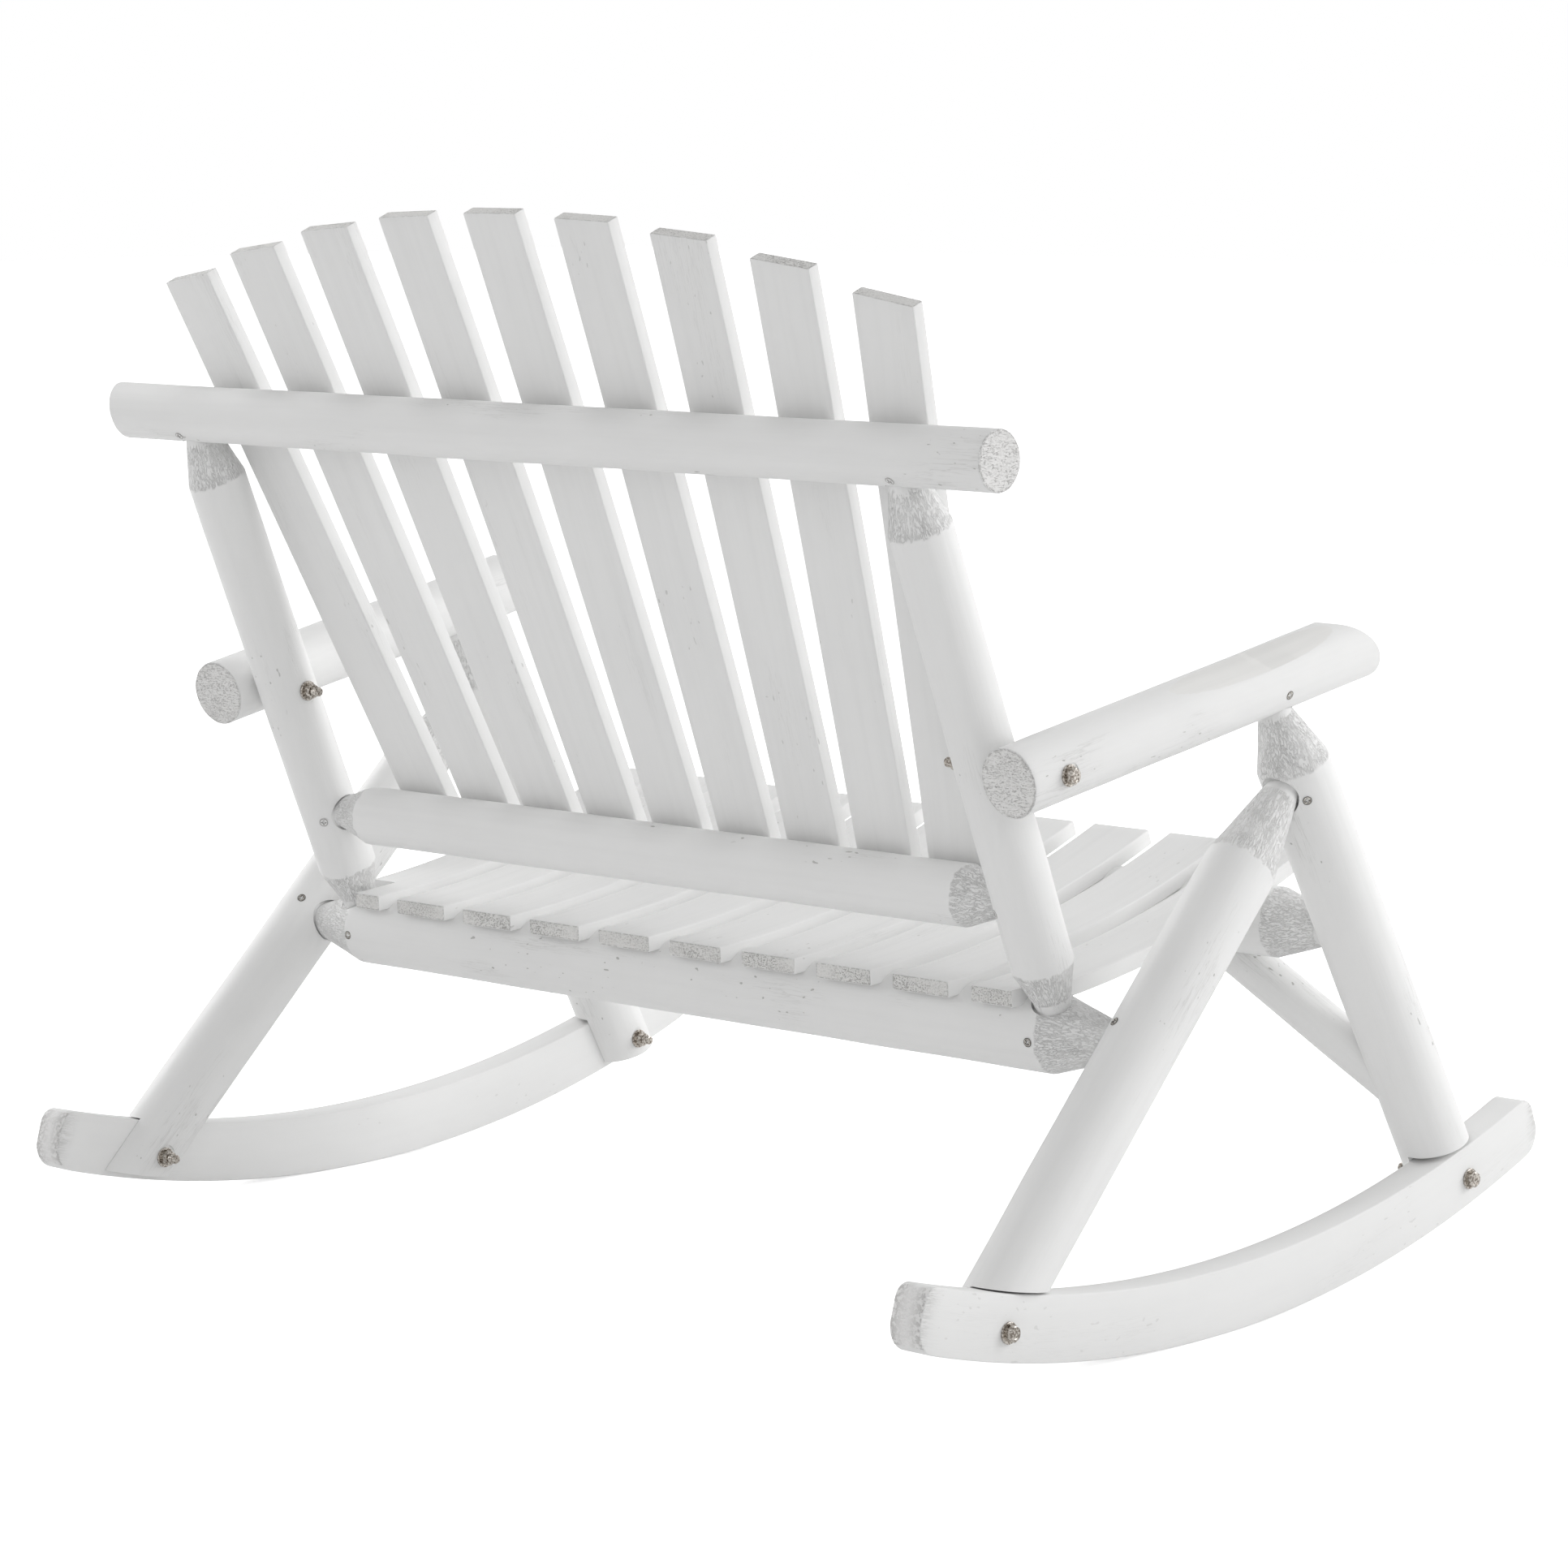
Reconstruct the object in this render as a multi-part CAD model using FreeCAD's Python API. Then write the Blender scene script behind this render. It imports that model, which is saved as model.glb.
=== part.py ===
import FreeCAD, Part
import math
import os

# Rocking bench of peeled logs: two bent runners, two A-shaped leg frames, a dished slat seat,
# a fan-shaped slat back between two posts and two log armrests.
# All lengths are in millimetres. X runs across the bench, the sitter looks along -Y, Z is up.
# The origin is on the floor, in the middle of the bench's footprint.

Vector = FreeCAD.Vector
LEFT = 1
RIGHT = -1
SIDE_NAMES = {LEFT: "left", RIGHT: "right"}

# Cuts reach this far, well past the pieces they are made in.
FAR = 2000.0
BEYOND = 300.0

# The axis of the rear seat rail is the place that the frame is set out from.
RAIL_Y = 123.0
RAIL_Z = 287.5

# Runners: bent boards whose lower edge is one arc.
RUNNER_IN = 586.0
RUNNER_THICK = 37.0
RUNNER_RADIUS = 1463.0
RUNNER_LOW_Y = 67.5
RUNNER_FRONT_Y = -487.8
RUNNER_REAR_Y = 486.2
RUNNER_HEIGHT_FRONT = 58.0
RUNNER_HEIGHT_MIDDLE = 64.0
RUNNER_HEIGHT_REAR = 62.0
RUNNER_TOP_ROUND = 16.0
RUNNER_LOW_ROUND = 26.0

# Legs: logs that lean towards each other and splay a little outwards at the floor.
LEG_X = 585.5
LEG_SPLAY = 0.035
REAR_LEG_R = 37.0
REAR_LEG_LEAN = 45.53
REAR_LEG_CONE = 86.0
REAR_LEG_NECK_R = 19.0
FRONT_LEG_R = 37.5
FRONT_LEG_LEAN = 28.68
FRONT_LEG_Y = -218.6
FRONT_LEG_Z = 353.4
FRONT_LEG_CONE = 58.0
FRONT_LEG_NECK_R = 17.5
LEG_FOOT_Z = 0.0
CHEEK_RISE = 6.0
SHOULDER_GAP = 1.2
SHOULDER_REACH = 52.0
LEG_TENON_R = 15.0
LEG_TENON = 30.0
LEG_TENON_ROOT = 5.0
LEG_NECK_GAP = 1.0
MORTISE_MOUTH_R = 20.5
MORTISE_MOUTH = 9.0

# Armrests: logs that rise and spread towards the front.
ARM_R = 35.0
ARM_MID_X = 566.5
ARM_MID_Y = 32.8
ARM_MID_Z = 596.8
ARM_SPREAD = 0.057
ARM_RISE = 0.194
ARM_REAR_Y = 278.5
ARM_FRONT_Y = -209.0
ARM_NOSE_R = 54.0
ARM_NOSE_LOW = -20.0
ARM_NOSE_LOW_R = 12.0
ARM_PALM_Y = -92.0
ARM_PALM_DEPTH = 5.0
ARM_PALM_LENGTH = 190.0
ARM_PALM_TILT = 8.0

# Back: posts and rails in one leaning plane through the rear seat rail.
BACK_LEAN = 22.64
BACK_LENGTH = 612.2
POST_X = 489.2
POST_R = 31.8
POST_LOW_CONE = 42.0
POST_TOP_CONE = 52.0
POST_NECK_R = 19.5
TOP_RAIL_R = 30.0
TOP_RAIL_RIGHT = -608.0
TOP_RAIL_LEFT = 599.5
TOP_RAIL_SLANT_Y = 0.25
TOP_RAIL_SLANT_Z = 0.244
TOP_FLAT_RIGHT = 507.5
TOP_FLAT_LEFT = 481.5
LOW_RAIL_S = 143.9
LOW_RAIL_R = 31.75
LOW_RAIL_CONE = 40.0
LOW_RAIL_NECK_R = 18.0
LOW_RAIL_TENON_R = 14.0
LOW_RAIL_TENON = 24.0
LOW_FLAT_RIGHT = 424.0
LOW_FLAT_LEFT = 398.0
FLAT_REACH = 60.0

# How many flats the carved ends, the tenons and the small metal pieces have.
CONE_FLATS = 12
TENON_FLATS = 12
WASHER_FLATS = 16
SHANK_FLATS = 8
SCREW_FLATS = 6

# Seat rails.
SEAT_REAR_R = 40.5
SEAT_REAR_CONE = 80.0
SEAT_REAR_NECK_R = 21.0
SEAT_FRONT_R = 37.0
SEAT_FRONT_Y = -217.0
SEAT_FRONT_Z = 357.0
SEAT_FRONT_CONE = 56.0
SEAT_FRONT_NECK_R = 19.0
RAIL_TENON_R = 16.0
RAIL_TENON = 28.0

# How far the neck of a carved end is let into the log that it meets.
RAIL_BITE = 1.0
POST_BITE = 0.5
LOW_RAIL_BITE = 1.5

# Back slats: a fan of boards on the front of the two back rails.
BACK_SLATS = 9
BACK_SLAT_WIDTH = 72.0
BACK_SLAT_THICK = 15.5
BACK_SLAT_FRONT = 27.0
BACK_SLAT_LOW_S = 115.0
BACK_SLAT_SET_S = 162.0
BACK_SLAT_PITCH = 93.4
BACK_SLAT_TILT = 2.54
BACK_TOP_S = 832.0
BACK_TOP_RADIUS = 1474.0
BACK_SLAT_SHIFT = -13.0
SLAT_EASE = 1.5

# Seat slats: boards with a shallow dish, side by side from rail to rail.
SEAT_SLATS = 10
SEAT_SLAT_WIDTH = 73.5
SEAT_SLAT_THICK = 17.0
SEAT_SLAT_PITCH = 101.0
SEAT_REAR_Y = 166.0
SEAT_REAR_TOP = 331.7
SEAT_FRONT_END_Y = -265.0
SEAT_FRONT_TOP = 426.4
SEAT_DISH = 16.9
SEAT_SLAT_SHIFT = 8.0
POST_NOTCH_Y = 108.0
POST_NOTCH_X = 462.0

# Braces between the front legs and the front seat rail.
BRACE_R = 24.0
BRACE_LOW = Vector(566.0, -292.0, 201.0)
BRACE_TOP = Vector(395.0, -225.0, 338.0)

# Bolts: hexagon head and washer outside, washer and nut inside.
BOLT_R = 5.0
BOLT_HEAD = 6.4
BOLT_FLATS = 17.0
NUT_HEIGHT = 8.0
WASHER_R = 12.5
WASHER = 2.2
THREAD_END = 10.0
BOLT_EDGE = 1.2
SEAT_R = 13.5
LOG_SEAT_DEPTH = 1.6
POST_SEAT_DEPTH = 1.3
FRONT_BOLT_Z = 91.7
REAR_BOLT_Z = 57.5
ARM_BOLT_Y = 235.0
ARM_BOLT_Z = 555.8

# Wood screws: countersunk heads and a tapering shank.
SCREW_HEAD_R = 4.6
SCREW_SHANK_R = 2.3
SCREW_TIP_R = 1.2
SCREW_HEAD = 3.2
SCREW_SUNK = 0.3
SCREW_LENGTH = 55.0
RAIL_SCREW_R = 36.5

BACK_DIR = Vector(0, math.sin(math.radians(BACK_LEAN)), math.cos(math.radians(BACK_LEAN)))
BACK_NORMAL = Vector(0, -math.cos(math.radians(BACK_LEAN)), math.sin(math.radians(BACK_LEAN)))


def turn_z_to(direction):
    return FreeCAD.Rotation(Vector(0, 0, 1), direction)


def revolved(start, direction, outline):
    """A turned solid: outline holds (distance along the axis, radius), first and last on the ends."""
    points = [Vector(0, 0, outline[0][0])]
    for distance, radius in outline:
        points.append(Vector(radius, 0, distance))
    points.append(Vector(0, 0, outline[-1][0]))
    clean = [points[0]]
    for point in points[1:]:
        if (point - clean[-1]).Length > 0.001:
            clean.append(point)
    wire = Part.makePolygon(clean + [clean[0]])
    solid = Part.Face(wire).revolve(Vector(0, 0, 0), Vector(0, 0, 1), 360)
    solid = Part.makeSolid(solid) if solid.ShapeType != "Solid" else solid
    solid.Placement = FreeCAD.Placement(start, turn_z_to(direction))
    return solid


def flat_face(points):
    return Part.Face(Part.makePolygon(points + [points[0]]))


def hewn(start, direction, outline, flats):
    """A many-sided solid: outline holds (distance along the axis, distance from it to the flats)."""
    rings = []
    for distance, reach in outline:
        corner = reach / math.cos(math.pi / flats)
        turns = [2 * math.pi * (step + 0.5) / flats for step in range(flats)]
        rings.append([Vector(corner * math.cos(t), corner * math.sin(t), distance) for t in turns])
    faces = [flat_face(rings[0]), flat_face(rings[-1])]
    for low, high in zip(rings, rings[1:]):
        for step in range(flats):
            after = (step + 1) % flats
            faces.append(flat_face([low[step], low[after], high[after], high[step]]))
    solid = Part.makeSolid(Part.makeShell(faces))
    if solid.Volume < 0:
        solid.reverse()
    solid.Placement = FreeCAD.Placement(start, turn_z_to(direction))
    return solid


def arc_edge(first, middle, last):
    return Part.Arc(first, middle, last).toShape()


def line_edge(first, last):
    return Part.LineSegment(first, last).toShape()


def block(x_range, y_range, z_range):
    size = [high - low for low, high in (x_range, y_range, z_range)]
    corner = Vector(x_range[0], y_range[0], z_range[0])
    return Part.makeBox(size[0], size[1], size[2], corner)


def one_solid(shape):
    """The largest solid of a result, so that no crumb of a cut stays behind."""
    return max(shape.Solids, key=lambda solid: solid.Volume)


# Runners

def runner_point(angle, rise):
    """A point on the runner, at an angle from its lowest place and a height above its lower edge."""
    radius = RUNNER_RADIUS - rise
    y = RUNNER_LOW_Y + radius * math.sin(angle)
    z = RUNNER_RADIUS - radius * math.cos(angle)
    return Vector(0, y, z)


def runner_angle(y):
    return math.asin((y - RUNNER_LOW_Y) / RUNNER_RADIUS)


def runner_outline():
    front = runner_angle(RUNNER_FRONT_Y)
    rear = runner_angle(RUNNER_REAR_Y)
    middle = (front + rear) / 2
    lower = arc_edge(runner_point(front, 0), runner_point(middle, 0), runner_point(rear, 0))
    upper = arc_edge(
        runner_point(front, RUNNER_HEIGHT_FRONT),
        runner_point(middle, RUNNER_HEIGHT_MIDDLE),
        runner_point(rear, RUNNER_HEIGHT_REAR),
    )
    nose = line_edge(runner_point(front, 0), runner_point(front, RUNNER_HEIGHT_FRONT))
    tail = line_edge(runner_point(rear, 0), runner_point(rear, RUNNER_HEIGHT_REAR))
    return lower, tail, upper, nose


def edges_across(solid, length):
    """The straight edges that run along X over the given length."""
    found = []
    for edge in solid.Edges:
        ends = [vertex.Point for vertex in edge.Vertexes]
        if len(ends) != 2:
            continue
        across = abs(abs(ends[1].x - ends[0].x) - length) < 0.01
        level = abs(ends[1].y - ends[0].y) + abs(ends[1].z - ends[0].z) < 0.01
        if across and level:
            found.append(edge)
    return found


def rise_of(edge):
    """Height of an edge above the runner's lower arc."""
    point = edge.Vertexes[0].Point
    return RUNNER_RADIUS - math.hypot(point.y - RUNNER_LOW_Y, point.z - RUNNER_RADIUS)


def runner(side):
    lower, tail, upper, nose = runner_outline()
    face = Part.Face(Part.Wire(Part.__sortEdges__([lower, tail, upper, nose])))
    solid = face.extrude(Vector(RUNNER_THICK, 0, 0))
    low_corners = [edge for edge in edges_across(solid, RUNNER_THICK) if rise_of(edge) < 1.0]
    solid = solid.makeFillet(RUNNER_LOW_ROUND, low_corners)
    top_corners = [
        edge for edge in edges_across(solid, RUNNER_THICK) if rise_of(edge) > RUNNER_HEIGHT_FRONT - 1.0
    ]
    solid = solid.makeFillet(RUNNER_TOP_ROUND, top_corners)
    solid.translate(Vector(RUNNER_IN, 0, 0))
    return solid if side == LEFT else mirrored(solid)


def mirrored(shape):
    return shape.mirror(Vector(0, 0, 0), Vector(1, 0, 0))


# Legs, all made on the left side and mirrored

def leg_x(z):
    return LEG_X - LEG_SPLAY * (z - RAIL_Z)


def rear_leg_point(z):
    slope = math.tan(math.radians(REAR_LEG_LEAN))
    return Vector(leg_x(z), RAIL_Y - slope * (z - RAIL_Z), z)


def front_leg_point(z):
    slope = math.tan(math.radians(FRONT_LEG_LEAN))
    return Vector(leg_x(z), FRONT_LEG_Y + slope * (z - FRONT_LEG_Z), z)


def leg_crossing_z():
    """The height where the axes of a rear and a front leg meet."""
    rear = math.tan(math.radians(REAR_LEG_LEAN))
    front = math.tan(math.radians(FRONT_LEG_LEAN))
    level = RAIL_Y + rear * RAIL_Z - FRONT_LEG_Y + front * FRONT_LEG_Z
    return level / (rear + front)


def arm_point(y):
    ahead = ARM_MID_Y - y
    return Vector(ARM_MID_X + ARM_SPREAD * ahead, y, ARM_MID_Z + ARM_RISE * ahead)


def front_leg_top():
    """The place where the front leg's axis meets the armrest's axis."""
    slope = math.tan(math.radians(FRONT_LEG_LEAN))
    z = (ARM_MID_Z + ARM_RISE * (ARM_MID_Y - FRONT_LEG_Y + slope * FRONT_LEG_Z)) / (1 + ARM_RISE * slope)
    return front_leg_point(z)


def shoulder_cutter(foot):
    """The space beside and below the shoulder that lets a leg stand on its runner."""
    centre = runner_angle(foot.y)
    half = SHOULDER_REACH / RUNNER_RADIUS
    low = runner_point(centre - half, RUNNER_HEIGHT_MIDDLE + SHOULDER_GAP)
    high = runner_point(centre + half, RUNNER_HEIGHT_MIDDLE)
    along = high - low
    low = low - along
    high = high + along
    down = Vector(0, 0, -BEYOND)
    solid = flat_face([low, high, high + down, low + down]).extrude(Vector(BEYOND, 0, 0))
    solid.translate(Vector(RUNNER_IN, 0, 0))
    return solid


def cheek_cutter():
    """Everything below the arc that ends the cheeks a little above the floor."""
    beyond = math.radians(6)
    first = runner_point(runner_angle(RUNNER_FRONT_Y) - beyond, CHEEK_RISE)
    middle = runner_point(0, CHEEK_RISE)
    last = runner_point(runner_angle(RUNNER_REAR_Y) + beyond, CHEEK_RISE)
    corner_last = Vector(0, last.y, -BEYOND)
    corner_first = Vector(0, first.y, -BEYOND)
    edges = [
        arc_edge(first, middle, last),
        line_edge(last, corner_last),
        line_edge(corner_last, corner_first),
        line_edge(corner_first, first),
    ]
    face = Part.Face(Part.Wire(edges))
    solid = face.extrude(Vector(BEYOND, 0, 0))
    solid.translate(Vector(RUNNER_IN - BEYOND / 2, 0, 0))
    return solid


def carved_leg(start, direction, length, log_r, cone, neck_r):
    """A log whose far end is carved with long flats to a neck and carries a tenon."""
    log = revolved(start, direction, [(0, log_r), (length, log_r)])
    slope = (log_r - neck_r) / cone
    flats = hewn(start, direction, [(-1, neck_r + slope * (length + 1)), (length, neck_r)], CONE_FLATS)
    outline = [(length - LEG_TENON_ROOT, LEG_TENON_R), (length + LEG_TENON, LEG_TENON_R)]
    tenon = hewn(start, direction, outline, TENON_FLATS)
    return one_solid(log.common(flats).fuse(tenon))


def rear_leg_blank():
    start = rear_leg_point(LEG_FOOT_Z)
    end = rear_leg_point(leg_crossing_z())
    direction = (end - start).normalize()
    length = (end - start).Length - FRONT_LEG_R - LEG_NECK_GAP
    return carved_leg(start, direction, length, REAR_LEG_R, REAR_LEG_CONE, REAR_LEG_NECK_R)


def rear_leg_mouth():
    """The loose mouth of the hole that takes the rear leg's tenon."""
    start = rear_leg_point(LEG_FOOT_Z)
    end = rear_leg_point(leg_crossing_z())
    direction = (end - start).normalize()
    length = (end - start).Length - FRONT_LEG_R
    inner = length + MORTISE_MOUTH
    outline = [(length - 30, MORTISE_MOUTH_R), (inner, MORTISE_MOUTH_R)]
    return hewn(start, direction, outline, TENON_FLATS)


def front_leg_blank():
    start = front_leg_point(LEG_FOOT_Z)
    end = front_leg_top()
    direction = (end - start).normalize()
    length = (end - start).Length - ARM_R - LEG_NECK_GAP
    return carved_leg(start, direction, length, FRONT_LEG_R, FRONT_LEG_CONE, FRONT_LEG_NECK_R)


def bolt_seat(point, outward, r):
    """A flat seat for a washer on the round face of a log."""
    return hewn(point, outward, [(0, r), (60, r)], WASHER_FLATS)


# Bolts

def hexagon(start, direction, flats, height):
    half = flats / 2
    outline = [(0, half), (height - BOLT_EDGE, half), (height, half - BOLT_EDGE)]
    return hewn(start, direction, outline, 6)


def ring(start, direction, outer, inner, height):
    disc = hewn(start, direction, [(0, outer), (height, outer)], WASHER_FLATS)
    hole = hewn(start, direction, [(-1, inner), (height + 1, inner)], SHANK_FLATS)
    return disc.cut(hole)


def bolt_set(outer_x, inner_x, y, z):
    """Bolt, washers and nut along X, from the outer seat to the inner seat."""
    outward = Vector(1, 0, 0)
    inward = Vector(-1, 0, 0)
    head_at = Vector(outer_x + WASHER, y, z)
    nut_at = Vector(inner_x - WASHER, y, z)
    end_x = inner_x - WASHER - NUT_HEIGHT - THREAD_END
    head = hexagon(head_at, outward, BOLT_FLATS, BOLT_HEAD)
    reach = head_at.x - end_x
    outline = [(0, BOLT_R), (reach - BOLT_EDGE, BOLT_R), (reach, BOLT_R - BOLT_EDGE)]
    shank = hewn(head_at, inward, outline, SHANK_FLATS)
    bolt = head.fuse(shank).removeSplitter()
    nut = hexagon(nut_at, inward, BOLT_FLATS, NUT_HEIGHT).cut(shank)
    washers = [
        ring(Vector(outer_x, y, z), outward, WASHER_R, BOLT_R, WASHER),
        ring(Vector(inner_x, y, z), inward, WASHER_R, BOLT_R, WASHER),
    ]
    return one_solid(bolt), one_solid(nut), washers, shank


# Armrests

def arm_direction():
    return (arm_point(ARM_FRONT_Y) - arm_point(ARM_REAR_Y)).normalize()


def arm_frame():
    """The armrest's own axes: forwards along the log, and up square to it."""
    forward = arm_direction()
    across = forward.cross(Vector(0, 0, 1)).normalize()
    up = across.cross(forward)
    return forward, across, up


def arm_nose(length):
    """Side outline of the armrest: rounded over towards a low, blunt nose."""
    forward, across, up = arm_frame()
    origin = arm_point(ARM_REAR_Y) - across * 60

    def at(distance, height):
        return origin + forward * distance + up * height

    centre = length - ARM_NOSE_R
    top = ARM_NOSE_LOW + ARM_NOSE_R
    diagonal = math.radians(45)
    corner = ARM_NOSE_LOW_R
    floor = -ARM_R - 1
    low_turn = corner * (1 - math.sin(diagonal))
    nose = [
        line_edge(at(-1, ARM_R + 1), at(-1, floor)),
        line_edge(at(-1, floor), at(length - corner, floor)),
        arc_edge(
            at(length - corner, floor),
            at(length - low_turn, floor + low_turn),
            at(length, floor + corner),
        ),
        line_edge(at(length, floor + corner), at(length, ARM_NOSE_LOW)),
        arc_edge(
            at(length, ARM_NOSE_LOW),
            at(centre + ARM_NOSE_R * math.cos(diagonal), ARM_NOSE_LOW + ARM_NOSE_R * math.sin(diagonal)),
            at(centre, top),
        ),
        line_edge(at(centre, top), at(centre, ARM_R + 1)),
        line_edge(at(centre, ARM_R + 1), at(-1, ARM_R + 1)),
    ]
    return Part.Face(Part.Wire(nose)).extrude(across * 120)


def palm_cutter():
    """A shallow scoop planed across the top of the armrest, where the hand lies."""
    forward, across, up = arm_frame()
    tilt = FreeCAD.Rotation(forward, ARM_PALM_TILT)
    up = tilt.multVec(up)
    across = tilt.multVec(across)
    half = ARM_PALM_LENGTH / 2
    radius = (half * half + ARM_PALM_DEPTH * ARM_PALM_DEPTH) / (2 * ARM_PALM_DEPTH)
    centre = arm_point(ARM_PALM_Y) + up * (ARM_R - ARM_PALM_DEPTH + radius)
    return Part.makeCylinder(radius, 200, centre - across * 100, across)


def armrest_blank():
    start = arm_point(ARM_REAR_Y)
    end = arm_point(ARM_FRONT_Y)
    length = (end - start).Length
    log = revolved(start, end - start, [(0, ARM_R), (length + 20, ARM_R)])
    log = log.common(arm_nose(length))
    log = log.cut(palm_cutter())
    return one_solid(log)


# Back frame

def back_point(x, s, ahead):
    """A point of the leaning back: x across, s up the lean, ahead in front of the rails' plane."""
    return Vector(x, RAIL_Y, RAIL_Z) + BACK_DIR * s + BACK_NORMAL * ahead


def carved_rail(start, direction, length, log_r, cones, neck_r, tenon_r, tenon):
    """A log between two others: carved with long flats to a neck, and a tenon at either end."""
    log = revolved(start, direction, [(0, log_r), (length, log_r)])
    slopes = [(log_r - neck_r) / cone for cone in cones]
    widest = length * slopes[1] / (slopes[0] + slopes[1])
    outline = [(0, neck_r), (widest, neck_r + slopes[0] * widest), (length, neck_r)]
    flats = hewn(start, direction, outline, CONE_FLATS)
    tenons = hewn(start, direction, [(-tenon, tenon_r), (length + tenon, tenon_r)], TENON_FLATS)
    return one_solid(log.common(flats).fuse(tenons))


def post_blank():
    low = SEAT_REAR_R - POST_BITE
    top = BACK_LENGTH - TOP_RAIL_R + POST_BITE
    start = back_point(POST_X, low, 0)
    cones = (POST_LOW_CONE, POST_TOP_CONE)
    return carved_rail(start, BACK_DIR, top - low, POST_R, cones, POST_NECK_R, RAIL_TENON_R, RAIL_TENON)


def top_rail_blank():
    """A plain log, sawn square at its right end and aslant at its left end."""
    centre = back_point(0, BACK_LENGTH, 0)
    length = FAR / 2
    start = Vector(TOP_RAIL_RIGHT, centre.y, centre.z)
    log = revolved(start, Vector(1, 0, 0), [(0, TOP_RAIL_R), (length, TOP_RAIL_R)])
    corners = []
    for y, z in ((-60, -60), (60, -60), (60, 60), (-60, 60)):
        x = TOP_RAIL_LEFT - TOP_RAIL_SLANT_Y * y + TOP_RAIL_SLANT_Z * z
        corners.append(Vector(x, centre.y + y, centre.z + z))
    return one_solid(log.cut(flat_face(corners).extrude(Vector(FAR, 0, 0))))


def rail_across(y, z, log_r, cone, neck_r, shoulder, tenon_r, tenon):
    start = Vector(-shoulder, y, z)
    across = Vector(1, 0, 0)
    return carved_rail(start, across, 2 * shoulder, log_r, (cone, cone), neck_r, tenon_r, tenon)


def seat_rear_rail_blank():
    shoulder = leg_x(RAIL_Z) - REAR_LEG_R + RAIL_BITE
    return rail_across(
        RAIL_Y, RAIL_Z, SEAT_REAR_R, SEAT_REAR_CONE, SEAT_REAR_NECK_R, shoulder, RAIL_TENON_R, RAIL_TENON)


def seat_front_rail_blank():
    shoulder = leg_x(SEAT_FRONT_Z) - FRONT_LEG_R + RAIL_BITE
    return rail_across(
        SEAT_FRONT_Y, SEAT_FRONT_Z, SEAT_FRONT_R, SEAT_FRONT_CONE, SEAT_FRONT_NECK_R,
        shoulder, RAIL_TENON_R, RAIL_TENON)


def low_rail_blank():
    centre = back_point(0, LOW_RAIL_S, 0)
    shoulder = POST_X - POST_R + LOW_RAIL_BITE
    return rail_across(
        centre.y, centre.z, LOW_RAIL_R, LOW_RAIL_CONE, LOW_RAIL_NECK_R,
        shoulder, LOW_RAIL_TENON_R, LOW_RAIL_TENON)


# Slats

def eased(board, direction, amount):
    """Take off the long edges of a board."""
    edges = []
    for edge in board.Edges:
        ends = [vertex.Point for vertex in edge.Vertexes]
        run = ends[1] - ends[0]
        if run.Length > 100 and abs(run.normalize().dot(direction)) > 0.9:
            edges.append(edge)
    return board.makeChamfer(amount, edges)


def back_slat(index):
    """One board of the fan, with sharp and with eased edges. The index is 0 in the middle, 4 at the left."""
    tilt = math.radians(BACK_SLAT_TILT * index)
    up = BACK_DIR * math.cos(tilt) + Vector(1, 0, 0) * math.sin(tilt)
    across = Vector(1, 0, 0) * math.cos(tilt) - BACK_DIR * math.sin(tilt)
    set_point = back_point(BACK_SLAT_PITCH * index + BACK_SLAT_SHIFT, BACK_SLAT_SET_S, BACK_SLAT_FRONT)
    below = (BACK_SLAT_SET_S - BACK_SLAT_LOW_S) / math.cos(tilt)
    top_s = BACK_TOP_S
    for _ in range(4):
        top_x = BACK_SLAT_PITCH * index + (top_s - BACK_SLAT_SET_S) * math.tan(tilt)
        top_s = BACK_TOP_S - top_x * top_x / (2 * BACK_TOP_RADIUS)
    above = (top_s - BACK_SLAT_SET_S) / math.cos(tilt)
    corner = set_point - up * below - across * (BACK_SLAT_WIDTH / 2)
    outline = [
        corner,
        corner + across * BACK_SLAT_WIDTH,
        corner + across * BACK_SLAT_WIDTH + up * (above + below),
        corner + up * (above + below),
    ]
    face = Part.Face(Part.makePolygon(outline + [outline[0]]))
    board = face.extrude(BACK_NORMAL * BACK_SLAT_THICK)
    return board, eased(board, up, SLAT_EASE)


def dish_arc(drop):
    """The dished line of the seat, moved down square to its chord."""
    rear = Vector(0, SEAT_REAR_Y, SEAT_REAR_TOP)
    front = Vector(0, SEAT_FRONT_END_Y, SEAT_FRONT_TOP)
    chord = front - rear
    half = chord.Length / 2
    radius = (half * half + SEAT_DISH * SEAT_DISH) / (2 * SEAT_DISH)
    normal = Vector(0, -chord.z, chord.y).normalize()
    normal = normal if normal.z > 0 else normal * -1
    centre = (rear + front) * 0.5 + normal * (radius - SEAT_DISH)
    ends = []
    for point in (rear, (rear + front) * 0.5 - normal * SEAT_DISH, front):
        spoke = (point - centre).normalize()
        ends.append(centre + spoke * (radius + drop))
    return ends


def seat_slat_x(index):
    return SEAT_SLAT_PITCH * ((SEAT_SLATS - 1) / 2 - index) + SEAT_SLAT_SHIFT


def dished_board(low_x, high_x):
    top = dish_arc(0)
    low = dish_arc(SEAT_SLAT_THICK)
    edges = [
        arc_edge(top[0], top[1], top[2]),
        line_edge(top[2], low[2]),
        arc_edge(low[2], low[1], low[0]),
        line_edge(low[0], top[0]),
    ]
    face = Part.Face(Part.Wire(edges))
    board = face.extrude(Vector(high_x - low_x, 0, 0))
    board.translate(Vector(low_x, 0, 0))
    return board


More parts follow.
